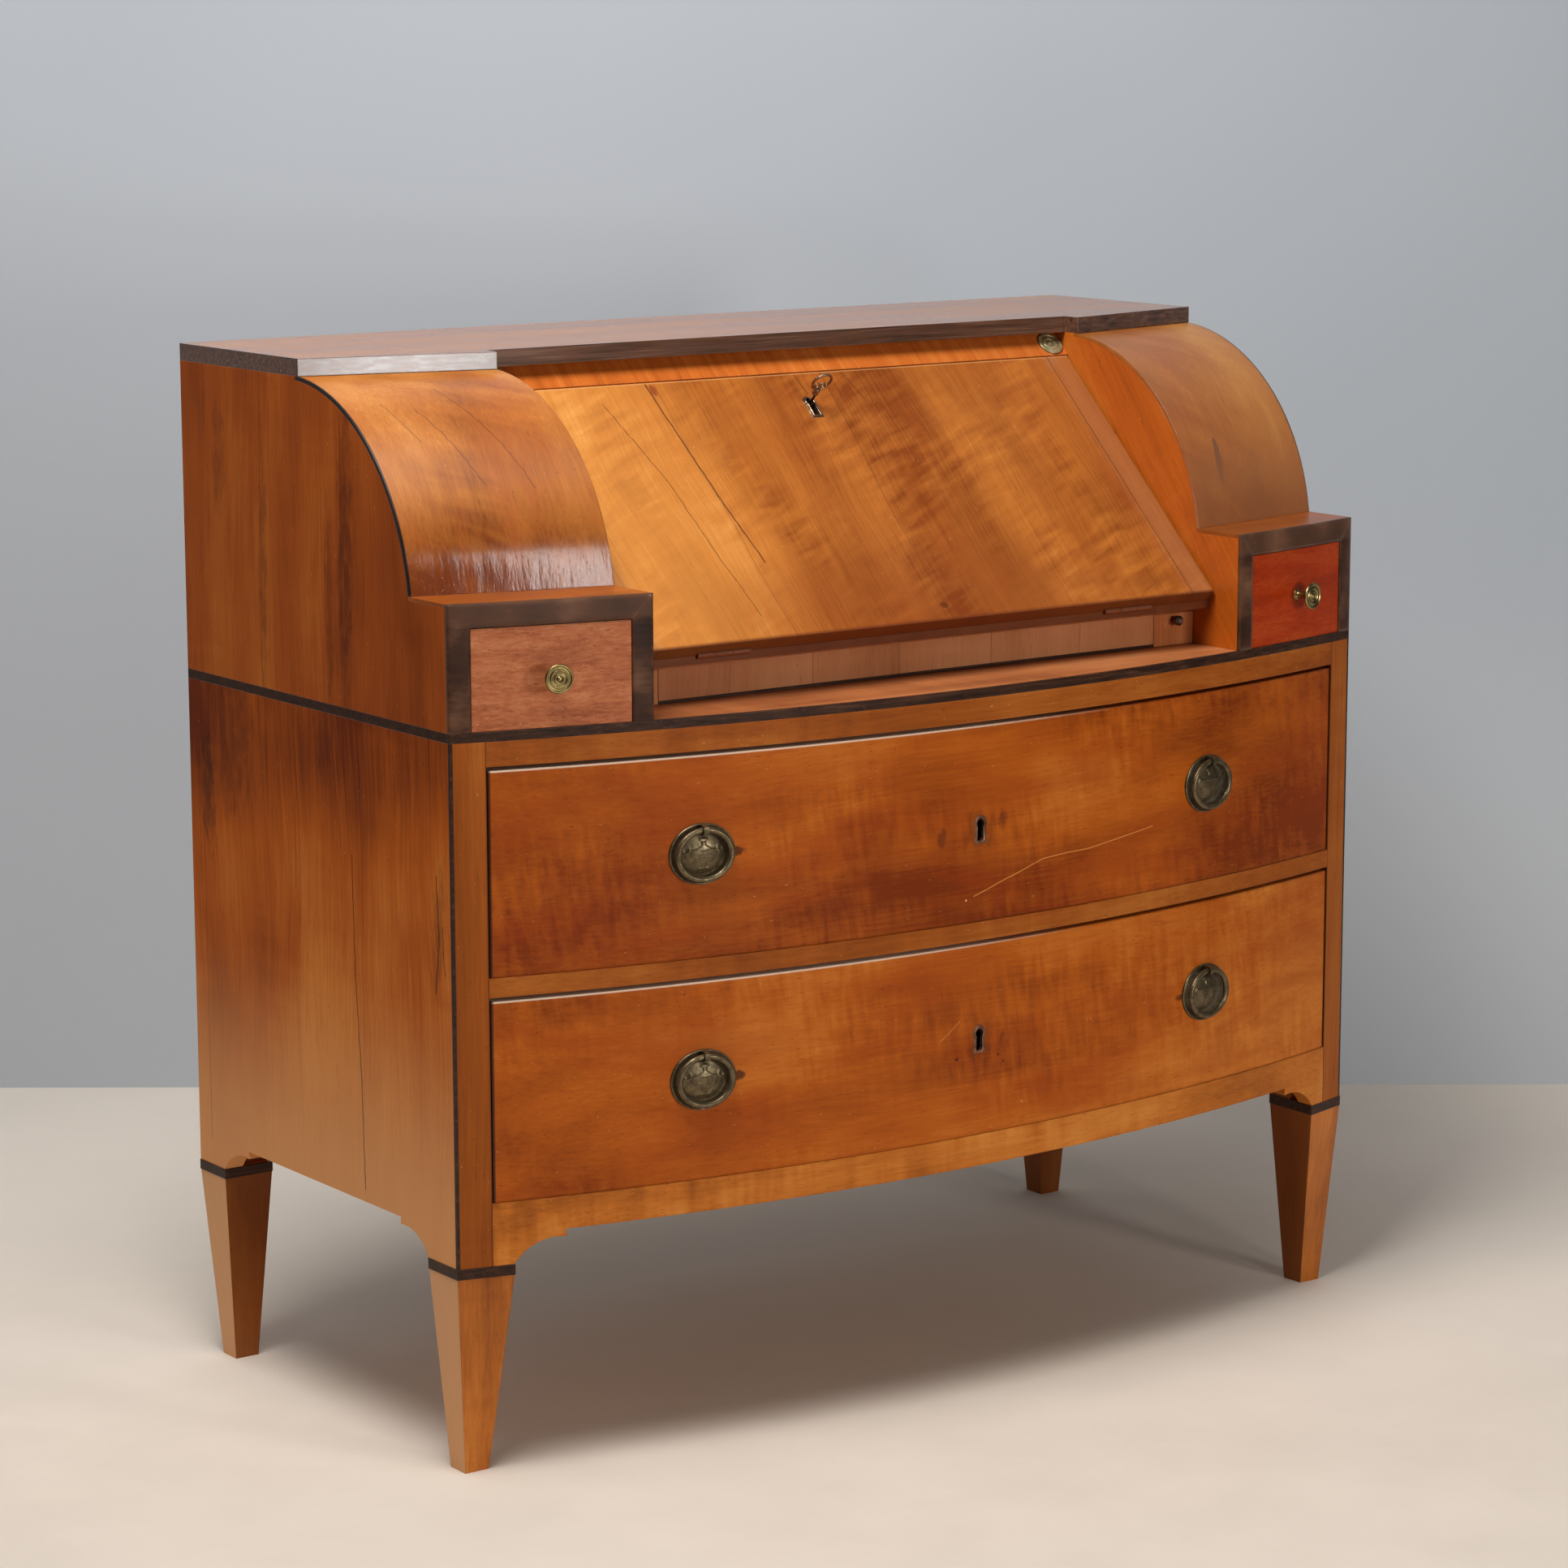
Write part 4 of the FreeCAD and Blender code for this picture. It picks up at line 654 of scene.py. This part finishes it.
def dress_inside_and_back():
    dress(wood("bed_veneer", X, Y, SHADY, seed=13.1, bands=20.0, figure=0.25, cloud=0.4, marks=bed_marks),
          "writing_bed")
    dress(wood("frieze_veneer", Z, X, FRIEZE_BROWN, seed=6.6, bands=14.0, figure=0.1, cloud=0.3, wave=0.02,
               contrast=0.35, fine=0.14,
               seams=((-0.24, 0.04), (-0.13, -0.05), (-0.02, 0.04), (0.1, -0.03), (0.22, 0.04))), "frieze")
    dress(wood("loper_veneer", Z, X, SHADY, seed=8.1, bands=24.0, figure=0.1, cloud=0.3),
          "left_loper", "right_loper")
    dress(wood("carcass_wood", X, Z, PLAIN, seed=16.1, bands=16.0, figure=0.08, cloud=0.3, wave=0.02,
               gloss=(0.5, 0.7), coat=0.0, edge=0.2, pores=0.5),
          "upper_drawer_box", "lower_drawer_box", "left_drawer_box", "right_drawer_box", "gallery_shelf",
          "gallery_dividers", "drawer_runners", "loper_guides")
    nails = [blot((x, z), (0.0032, 0.0032), 0.5, GRIME_AND_GAP_SHADE, 0.85)
             for z in (0.26, 0.4, 0.51, 0.63, 0.74, 0.8, 0.9, 1.0, 1.08) for x in (-0.565, 0.565)]
    dress(wood("back_boards", X, Z, BACK_PINE, seed=22.6, bands=15.0, figure=0.06, cloud=0.4, wave=0.03,
               gloss=(0.55, 0.75), coat=0.0, edge=0.3, pores=0.5, contrast=0.9, shine=0.06,
               seams=((0.335, 0.06), (0.455, -0.09), (0.575, 0.07), (0.685, -0.06), (0.85, 0.07),
                      (0.945, -0.08), (1.03, 0.05)), marks=scars(front_plane, *nails)),
          "lower_back", "upper_back")


def dress_black_wood():
    dress(ebonised("ebonised_x", X, Z, BAND_EBONY, seed=2.0, gloss=(0.14, 0.3), wear=0.8, coat=1.0),
          "top_edge_bands")
    dress(ebonised("frame_black", X, Z, FRAME_EBONY, seed=3.0, gloss=(0.3, 0.42), wear=0.5, coat=0.1, shine=0.1,
                   bevel=6.0, blotch=0.86, crest=FRAME_CREST), "box_frames")
    dress(ebonised("ebonised_strings", X, Z, EBONY, seed=5.0, gloss=(0.3, 0.5), wear=0.3, coat=0.07, shine=0.12,
                   chips=0.12), "ebonised_strings")


def mesh_object(name, mesh, material, body, slot, *nodes):
    """A new piece that rides on a body and stands for CAD nodes."""
    piece = bpy.data.objects.new(name, mesh)
    bpy.context.scene.collection.objects.link(piece)
    mesh.materials.append(material)
    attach(piece, body)
    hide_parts(*nodes)


def smooth_mesh(name, grids, angle=40):
    """One mesh from grids of points; a grid is rows of points, each row closed to a loop."""
    mesh = bpy.data.meshes.new(name)
    verts, faces = [], []
    for rows in grids:
        start, width = len(verts), len(rows[0])
        verts += [p for row in rows for p in row]
        for i in range(len(rows) - 1):
            for j in range(width):
                k = (j + 1) % width
                faces.append((start + i * width + j, start + i * width + k,
                              start + (i + 1) * width + k, start + (i + 1) * width + j))
    mesh.from_pydata(verts, [], faces)
    work = bmesh.new()
    work.from_mesh(mesh)
    bmesh.ops.remove_doubles(work, verts=work.verts, dist=1e-6)
    bmesh.ops.recalc_face_normals(work, faces=work.faces)
    work.to_mesh(mesh)
    work.free()
    mesh.shade_smooth()
    mesh.set_sharp_from_angle(angle=math.radians(angle))
    return mesh


class Place:
    """A spot on the object with its own right, up and outward directions, in metres."""

    def __init__(self, centre, right, up, out):
        self.centre, self.right, self.up, self.out = Vector(centre), Vector(right), Vector(up), Vector(out)

    def at(self, u, v, w):
        return self.centre + self.right * u + self.up * v + self.out * w


def on_bow(x, z, inset):
    """A spot on the bowed front, facing the sitter."""
    turn = math.asin(x / (BOW_RADIUS - inset))
    centre = (x, BOW_CENTRE - math.sqrt((BOW_RADIUS - inset) ** 2 - x * x), z)
    return Place(centre, (math.cos(turn), math.sin(turn), 0), Z, (math.sin(turn), -math.cos(turn), 0))


def on_fall(x, along):
    """A spot on the outer face of the closed fall."""
    return Place(HINGE + X * x + UPHILL * along + OFF_SLOPE * FALL_THICKNESS, X, UPHILL, OFF_SLOPE)


def turned(place, profile, sides, shape=None):
    """A grid of a turned piece for smooth_mesh, its profile given as (radius, height) in millimetres."""
    rows = []
    for radius, height in profile:
        row = []
        for i in range(sides):
            t = 2 * math.pi * i / sides
            r, h = shape(radius * MM, height * MM, t) if shape else (radius * MM, height * MM)
            row.append(place.at(r * math.cos(t), r * math.sin(t), h))
        rows.append(row)
    return rows


def torus(place, radius, sides, round_sides, wire):
    """A grid of a closed ring in the plane of the spot; wire gives its half thickness round the ring."""
    rows = []
    for j in range(round_sides + 1):
        s = 2 * math.pi * j / round_sides
        row = []
        for i in range(sides):
            t = 2 * math.pi * i / sides
            w = wire(t, s)
            r = radius + w * math.cos(s)
            row.append(place.at(r * math.cos(t), r * math.sin(t), w * math.sin(s)))
        rows.append(row)
    return rows


def bump(value, centre, half):
    """A rounded bump of height 1 about a centre."""
    share = (value - centre) / half
    return math.sqrt(1 - share * share) if abs(share) < 1 else 0.0


def urn(u, v):
    """The height of the urn stamped on a pull's boss, for a spot in millimetres from its middle."""
    height = 0.0
    if -7.5 < v < 3.0:
        bowl = 11.0 * math.sqrt(max(0.02, 1 - ((3.0 - v) / 10.8) ** 2))
        height = max(height, 0.95 * bump(u, 0, bowl))
        if v < -2.6 and abs(u) < bowl:
            height += 0.22 * math.sin(u * 2.2) ** 2
    height = max(height, 1.25 * bump(v, 4.0, 1.0) * bump(u, 0, 12.6))
    height = max(height, 1.15 * bump(v, -2.0, 0.7) * bump(u, 0, 10.6))
    if 4.0 < v < 8.5:
        lid = 2.0 + 8.0 * ((8.5 - v) / 4.5) ** 1.6
        height = max(height, 0.8 * bump(u, 0, lid))
    finial = ((1.1, 10.2, 2.0, 1.7), (0.9, 13.4, 1.5, 3.4))
    foot = ((0.9, -9.4, 2.6, 1.8), (1.0, -12.6, 1.2, 5.0))
    for rise, middle, tall, wide in finial + foot:
        height = max(height, rise * bump(v, middle, tall) * bump(u, 0, wide))
    for side in (-1, 1):
        handle = math.hypot(u - side * 13.6, (v - 5.2) * 0.8)
        height = max(height, 0.85 * bump(handle, 2.5, 0.9))
    return height


def pull_plate(place):
    """A stamped plate: corded edge, hollow, a domed boss with an urn in low relief, and the ring's eye."""
    sides, cords = 168, 84
    boss_radius, boss_rows, boss_foot, boss_rise = 21.0, 36, 2.3, 4.6
    urn_wide, urn_tall, urn_relief = 1.22, 1.15, 0.7

    def corded(radius, height, t):
        if radius > 30.2 * MM and height > 0.4 * MM:
            ridge = 0.5 + 0.5 * math.sin(cords * t + radius * 1500)
            return radius + 0.2 * MM * ridge * (radius > 31.2 * MM), height + 0.3 * MM * ridge
        return radius, height
    rim = [(31.75, 0.0), (31.75, 1.6), (31.4, 2.5), (30.8, 2.95), (30.2, 3.0), (29.6, 2.5), (29.2, 1.9),
           (27.8, 1.75), (23.5, 1.8), (21.8, 1.85), (21.0, 2.3)]
    grids = [turned(place, rim, sides, corded)]
    rows = []
    for i in range(boss_rows + 1):
        radius = boss_radius * (1 - i / boss_rows)
        row = []
        for j in range(sides):
            t = 2 * math.pi * j / sides
            u, v = radius * math.cos(t), radius * math.sin(t)
            dome = boss_foot + boss_rise * (1 - (radius / boss_radius) ** 2)
            fade = min(1.0, (boss_radius - radius) / 2.0)
            stamped = urn_relief * urn(u / urn_wide, v / urn_tall) * fade
            row.append(place.at(u * MM, v * MM, (dome + stamped) * MM))
        rows.append(row)
    grids.append(rows)
    half, reach, depth = 2.5 * MM, 5.0 * MM, 13.0 * MM
    section = [(0.0, 0.0), (depth * 0.75, 0.0), (depth, reach * 0.35), (depth * 1.03, reach),
               (depth, reach * 1.65), (depth * 0.75, reach * 2), (0.0, reach * 2)]
    eye = [[place.at(x, RING_RADIUS - reach + v, w) for w, v in section] for x in (-half, half)]
    grids.append(eye)
    for x, outline in zip((-half, half), eye):
        grids.append([outline, [place.at(x, RING_RADIUS, depth * 0.5)] * len(section)])
    return grids


def pull_ring(place):
    """The hanging ring, chased with leaves at its quarters and plain between them."""
    def chased(t, s):
        leaf = max(0.0, abs(math.cos(t)) - 0.72) / 0.28 + 0.35 * max(0.0, abs(math.sin(t)) - 0.8) / 0.2
        return (2.95 + 0.2 * leaf * math.sin(52 * t + 2 * math.sin(s)) * math.cos(2 * s)) * MM
    return torus(place, RING_RADIUS, 176, 16, chased)


def pulls(bronze):
    for level in ("upper", "lower"):
        grids = []
        for side, sign in (("left", -1), ("right", 1)):
            name = level + "_" + side + "_ring"
            low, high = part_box(name)
            spot = on_bow(sign * PULL_X, (low.z + high.z) / 2, FITTING_INSET)
            spot.right *= PULL_WIDE
            grids += pull_plate(spot)
            ring_spot = Place(spot.at(0, 0, RING_STAND), spot.right, spot.up, spot.out)
            mesh_object(name + "_chased", smooth_mesh(name, [pull_ring(ring_spot)]), bronze, name,
                        "aged_bronze", name)
        mesh_object(level + "_pulls_stamped", smooth_mesh(level + "_pulls", grids), bronze, level + "_drawer",
                    "aged_bronze", level + "_pull_plates")


def knobs(gilt):
    """Turned brass knobs with rings round a small centre button."""
    widen = 15 / 14
    profile = [(0.0, 0.0), (6.0, 0.0), (6.2, 0.8), (6.0, 2.2), (5.2, 3.0), (4.0, 4.2), (3.5, 6.0), (3.4, 10.0),
               (3.7, 14.0), (4.6, 17.0), (7.0, 19.0), (10.6, 20.2), (13.2, 21.0), (13.95, 22.0), (13.95, 23.2),
               (13.5, 24.1), (12.7, 24.6), (11.9, 24.3), (11.4, 23.6), (10.4, 23.4), (9.4, 23.6), (8.8, 24.2),
               (8.1, 24.5), (7.4, 24.2), (6.9, 23.5), (6.1, 23.2), (5.4, 23.4), (4.9, 24.0), (4.2, 24.3),
               (3.5, 24.0), (3.1, 23.4), (2.6, 23.6), (2.1, 24.5), (1.3, 24.95), (0.0, 25.0)]
    for side, sign in (("left", -1), ("right", 1)):
        name = side + "_knob"
        low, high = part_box(name)
        spot = on_bow(sign * KNOB_X, (low.z + high.z) / 2, KNOB_INSET)
        grid = turned(spot, [(r * widen, h) for r, h in profile], 72)
        mesh_object(name + "_turned", smooth_mesh(name, [grid], 50), gilt, side + "_drawer", "gilt_brass", name)


def fall_key(steel):
    """The key: a shaft with a collar, a bit, and an oval bow with a beaded edge and scrolls inside."""
    spot = on_fall(0, FALL_KEYHOLE)
    shaft = [(0.0, -12.0), (2.3, -12.0), (2.3, 13.0), (2.6, 13.6), (3.5, 14.4), (3.6, 15.2), (3.0, 16.2),
             (2.6, 17.2), (2.9, 18.4), (3.4, 19.2), (3.0, 20.2), (2.2, 21.4), (1.8, 22.6), (0.0, 23.0)]
    grids = [turned(spot, shaft, 28)]
    bow = Place(spot.at(0, 0, 32.5 * MM), spot.right, spot.out, spot.up)
    grids.append(torus(bow, 11.5 * MM, 120, 12, lambda t, s: (1.45 + 0.16 * math.sin(30 * t)) * MM))
    for side in (-1, 1):
        scroll = Place(bow.at(side * 3.6 * MM, -5.4 * MM, 0), spot.right, spot.out, spot.up)
        grids.append(torus(scroll, 3.0 * MM, 36, 8, lambda t, s: 0.9 * MM))
    bit = [(0, -1.2 * MM), (7 * MM, -1.2 * MM), (7 * MM, 1.2 * MM), (0, 1.2 * MM)]
    grids.append([[spot.at(u, v, w) for u, v in bit] for w in (-12.6 * MM, -8.2 * MM)])
    mesh_object("key_chased", smooth_mesh("key", grids), steel, "key", "iron", "key")


def keyhole_outline(grow, sides=14):
    """Points round a keyhole, its eye at the origin and its slot downwards, grown by some millimetres."""
    radius, half, drop = 5.0 + grow, 3.75 + grow, 18.5 + grow
    start = math.asin(min(0.98, half / radius))
    points = []
    for i in range(sides + 1):
        t = -math.pi / 2 + start + (2 * math.pi - 2 * start) * i / sides
        points.append((radius * math.cos(t), radius * math.sin(t)))
    return points + [(-half * 1.12, -drop), (half * 1.12, -drop)]


def escutcheons(steel, worn):
    """Keyhole rims with a raised lip at the hole, which stands higher on the fall than on the drawers."""
    steps = ((0.0, -1.1), (0.0, 1.3), (0.5, 1.7), (1.1, 1.3), (1.5, 0.6), (3.2, 0.5), (3.9, 0.35), (4.0, 0.0))
    rim_width, low_lip = 0.84, 0.45
    spots = (("upper_escutcheon", on_bow(0, UPPER_KEYHOLE, FITTING_INSET), "upper_drawer", worn, low_lip),
             ("lower_escutcheon", on_bow(0, LOWER_KEYHOLE, FITTING_INSET), "lower_drawer", worn, low_lip),
             ("fall_escutcheon", on_fall(0, FALL_KEYHOLE), "fall", steel, 1.0))
    for name, spot, body, material, lip in spots:
        rows = []
        for grow, height in steps:
            rise = height * lip if height > 0 else height
            rows.append([spot.at(u * MM, v * MM, rise * MM) for u, v in keyhole_outline(grow * rim_width)])
        mesh_object(name + "_lipped", smooth_mesh(name, [rows], 35), material, body, "aged_bronze", name)


def corner_plates(plate):
    """The round ringed brass plates at both ends of the rail over the fall."""
    profile = [(15.9, 0.0), (15.9, 1.0), (15.6, 1.7), (14.8, 2.2), (13.4, 2.3), (12.4, 1.9), (11.8, 1.3),
               (9.8, 1.25), (9.2, 1.8), (8.2, 2.3), (6.8, 2.25), (5.9, 1.8), (5.4, 1.3), (3.4, 1.25),
               (2.6, 1.9), (1.4, 2.3), (0.0, 2.35)]
    grids = [turned(on_fall(sign * CORNER_PLATE_X, CORNER_PLATE_UP), profile, 56) for sign in (-1, 1)]
    mesh_object("corner_plates_ringed", smooth_mesh("corner_plates", grids), plate, "case", "gilt_brass",
                "corner_plates")


def camera():
    azimuth, elevation, roll = math.radians(-35.857), math.radians(10.232), -0.00232
    eye_place, focal_pixels, frame_pixels = (-2.8694, -3.9271, 1.4983), 5502.2, 1932
    back = Vector((math.sin(azimuth) * math.cos(elevation), -math.cos(azimuth) * math.cos(elevation),
                   math.sin(elevation)))
    level = Vector((math.cos(azimuth), math.sin(azimuth), 0))
    over = back.cross(level)
    right = level * math.cos(roll) + over * math.sin(roll)
    up = over * math.cos(roll) - level * math.sin(roll)
    data = bpy.data.cameras.new("camera")
    data.sensor_width = 36.0
    data.lens = data.sensor_width * focal_pixels / frame_pixels
    data.clip_start, data.clip_end = 0.1, 100.0
    eye = bpy.data.objects.new("camera", data)
    eye.matrix_world = Matrix.Translation(eye_place) @ Matrix((right, up, back)).transposed().to_4x4()
    bpy.context.scene.collection.objects.link(eye)
    bpy.context.scene.camera = eye
    return back


def plane(name, corners, material):
    mesh = bpy.data.meshes.new(name)
    mesh.from_pydata(corners, [], [(0, 1, 2, 3)])
    piece = bpy.data.objects.new(name, mesh)
    bpy.context.scene.collection.objects.link(piece)
    mesh.materials.append(material)


def floor(back):
    """A pale floor with painted light: lighter far off, and a painted shadow under the desk."""
    f = Finish("floor")
    x, y = f.along(X), f.along(Y)
    mottle = f.noise(f.place(f.times(x, 5.0), f.times(y, 5.0)), 5.0, 0.6)
    carpet = f.ramp(mottle, (0.3, tone(222, 211, 197)), (0.7, tone(230, 219, 205)))
    # painted light: lighter far off
    far = f.ease(f.along((-back.x, -back.y, 0)), -0.6, 1.0, 0.0, 0.6)
    carpet = f.tint(far, carpet, tone(246, 238, 226))
    # painted shadow under the desk
    under = f.spot(x, y, (0.2, 0.16), (0.9, 0.6), 1.0)
    f.set(Base_Color=f.tint(f.times(under, 0.52), carpet, tone(136, 124, 110)), Roughness=0.75)
    size = 14.0
    plane("floor", [(-size, -size, 0), (size, -size, 0), (size, size, 0), (-size, size, 0)], f.material)


def wall(back):
    """A blue-grey wall behind the desk, clear from its back, with painted light: darker to the right, paler low
    down and in the lower right.
    """
    f = Finish("wall")
    paint = f.ramp(f.solid(0.9, 2.0), (0.3, tone(182, 190, 199)), (0.7, tone(190, 197, 205)))
    aside, z = f.along((-back.y, back.x, 0)), f.along(Z)
    # painted light on the wall: darker to the right, paler low down and in the lower right corner
    paint = f.tint(f.ease(aside, -0.6, 1.4), paint, tone(240, 241, 240), "MULTIPLY")
    paint = f.tint(f.ease(z, 0.9, 0.0, 0.0, 0.5), paint, tone(192, 199, 207))
    corner = f.times(f.ease(aside, 0.2, 1.0), f.ease(z, 0.7, 0.15, 0.0, 0.22))
    paint = f.tint(corner, paint, tone(222, 226, 226))
    f.set(Base_Color=paint, Roughness=0.8)
    choice = f.add("ShaderNodeMixShader")
    f.feed(choice.inputs[0], f.add("ShaderNodeNewGeometry").outputs["Backfacing"])
    f.feed(choice.inputs[1], f.shader.outputs["BSDF"])
    f.feed(choice.inputs[2], f.add("ShaderNodeBsdfTransparent").outputs[0])
    f.feed(f.output.inputs["Surface"], choice.outputs[0])
    towards = Vector((back.x, back.y, 0)).normalized()
    foot = towards * -1.101
    wide = Vector((-towards.y, towards.x, 0)) * 7.0
    tall = Vector((0, 0, 7.0))
    plane("wall", [foot - wide, foot + wide, foot + wide + tall, foot - wide + tall], f.material)


def lamp(name, place, aim, size, energy, colour):
    data = bpy.data.lights.new(name, "AREA")
    data.shape, data.size, data.size_y = "RECTANGLE", size[0], size[1]
    data.energy, data.color = energy, colour
    piece = bpy.data.objects.new(name, data)
    piece.location = place
    piece.rotation_mode = "QUATERNION"
    piece.rotation_quaternion = (Vector(aim) - Vector(place)).to_track_quat("-Z", "Y")
    bpy.context.scene.collection.objects.link(piece)


def light():
    """A broad lamp overhead, a small lamp, a tall strip and a low panel in front, a ceiling tube and a sky."""
    warm, pale = (1.0, 0.97, 0.95), (1.0, 0.98, 0.96)
    lamp("overhead", (-1.1, -0.55, 3.1), (-0.15, 0, 0.6), (1.3, 1.3), 88.0, warm)
    lamp("flash", (0.8, -3.3, 1.12), (0, -0.2, 0.7), (0.5, 0.5), 25.0, warm)
    lamp("strip", (0.0, -3.4, 1.85), (-0.3, 0, 0.8), (0.2, 1.1), 7.0, pale)
    lamp("low_panel", (-0.2, -3.6, 0.82), (-0.45, 0, 1.0), (0.4, 0.3), 8.0, pale)
    lamp("ceiling", (0.35, -1.2, 3.1), (0, -0.2, 0.7), (1.6, 0.12), 2.5, pale)
    world = bpy.data.worlds.new("sky")
    bpy.context.scene.world = world
    world.use_nodes = True
    sky = world.node_tree.nodes["Background"]
    sky.inputs["Color"].default_value = (0.93, 0.96, 1.0, 1.0)
    sky.inputs["Strength"].default_value = 0.03


def main():
    back = camera()
    floor(back)
    wall(back)
    light()
    dress_lower_case()
    dress_long_drawers()
    dress_fall()
    dress_upper_case()
    dress_inside_and_back()
    dress_black_wood()
    kinds = metals()
    dress(kinds["iron"], "upper_lock", "lower_lock", "fall_lock", "upper_bolt", "lower_bolt", "fall_bolt",
          "left_loper_knob", "right_loper_knob")
    dress(kinds["brown"], "bed_hinge_leaves", "fall_hinge_leaves")
    pulls(kinds["bronze"])
    knobs(kinds["gilt"])
    fall_key(kinds["steel"])
    escutcheons(kinds["steel"], kinds["worn"])
    corner_plates(kinds["plate"])
    bpy.context.scene.view_settings.view_transform = "Standard"


main()
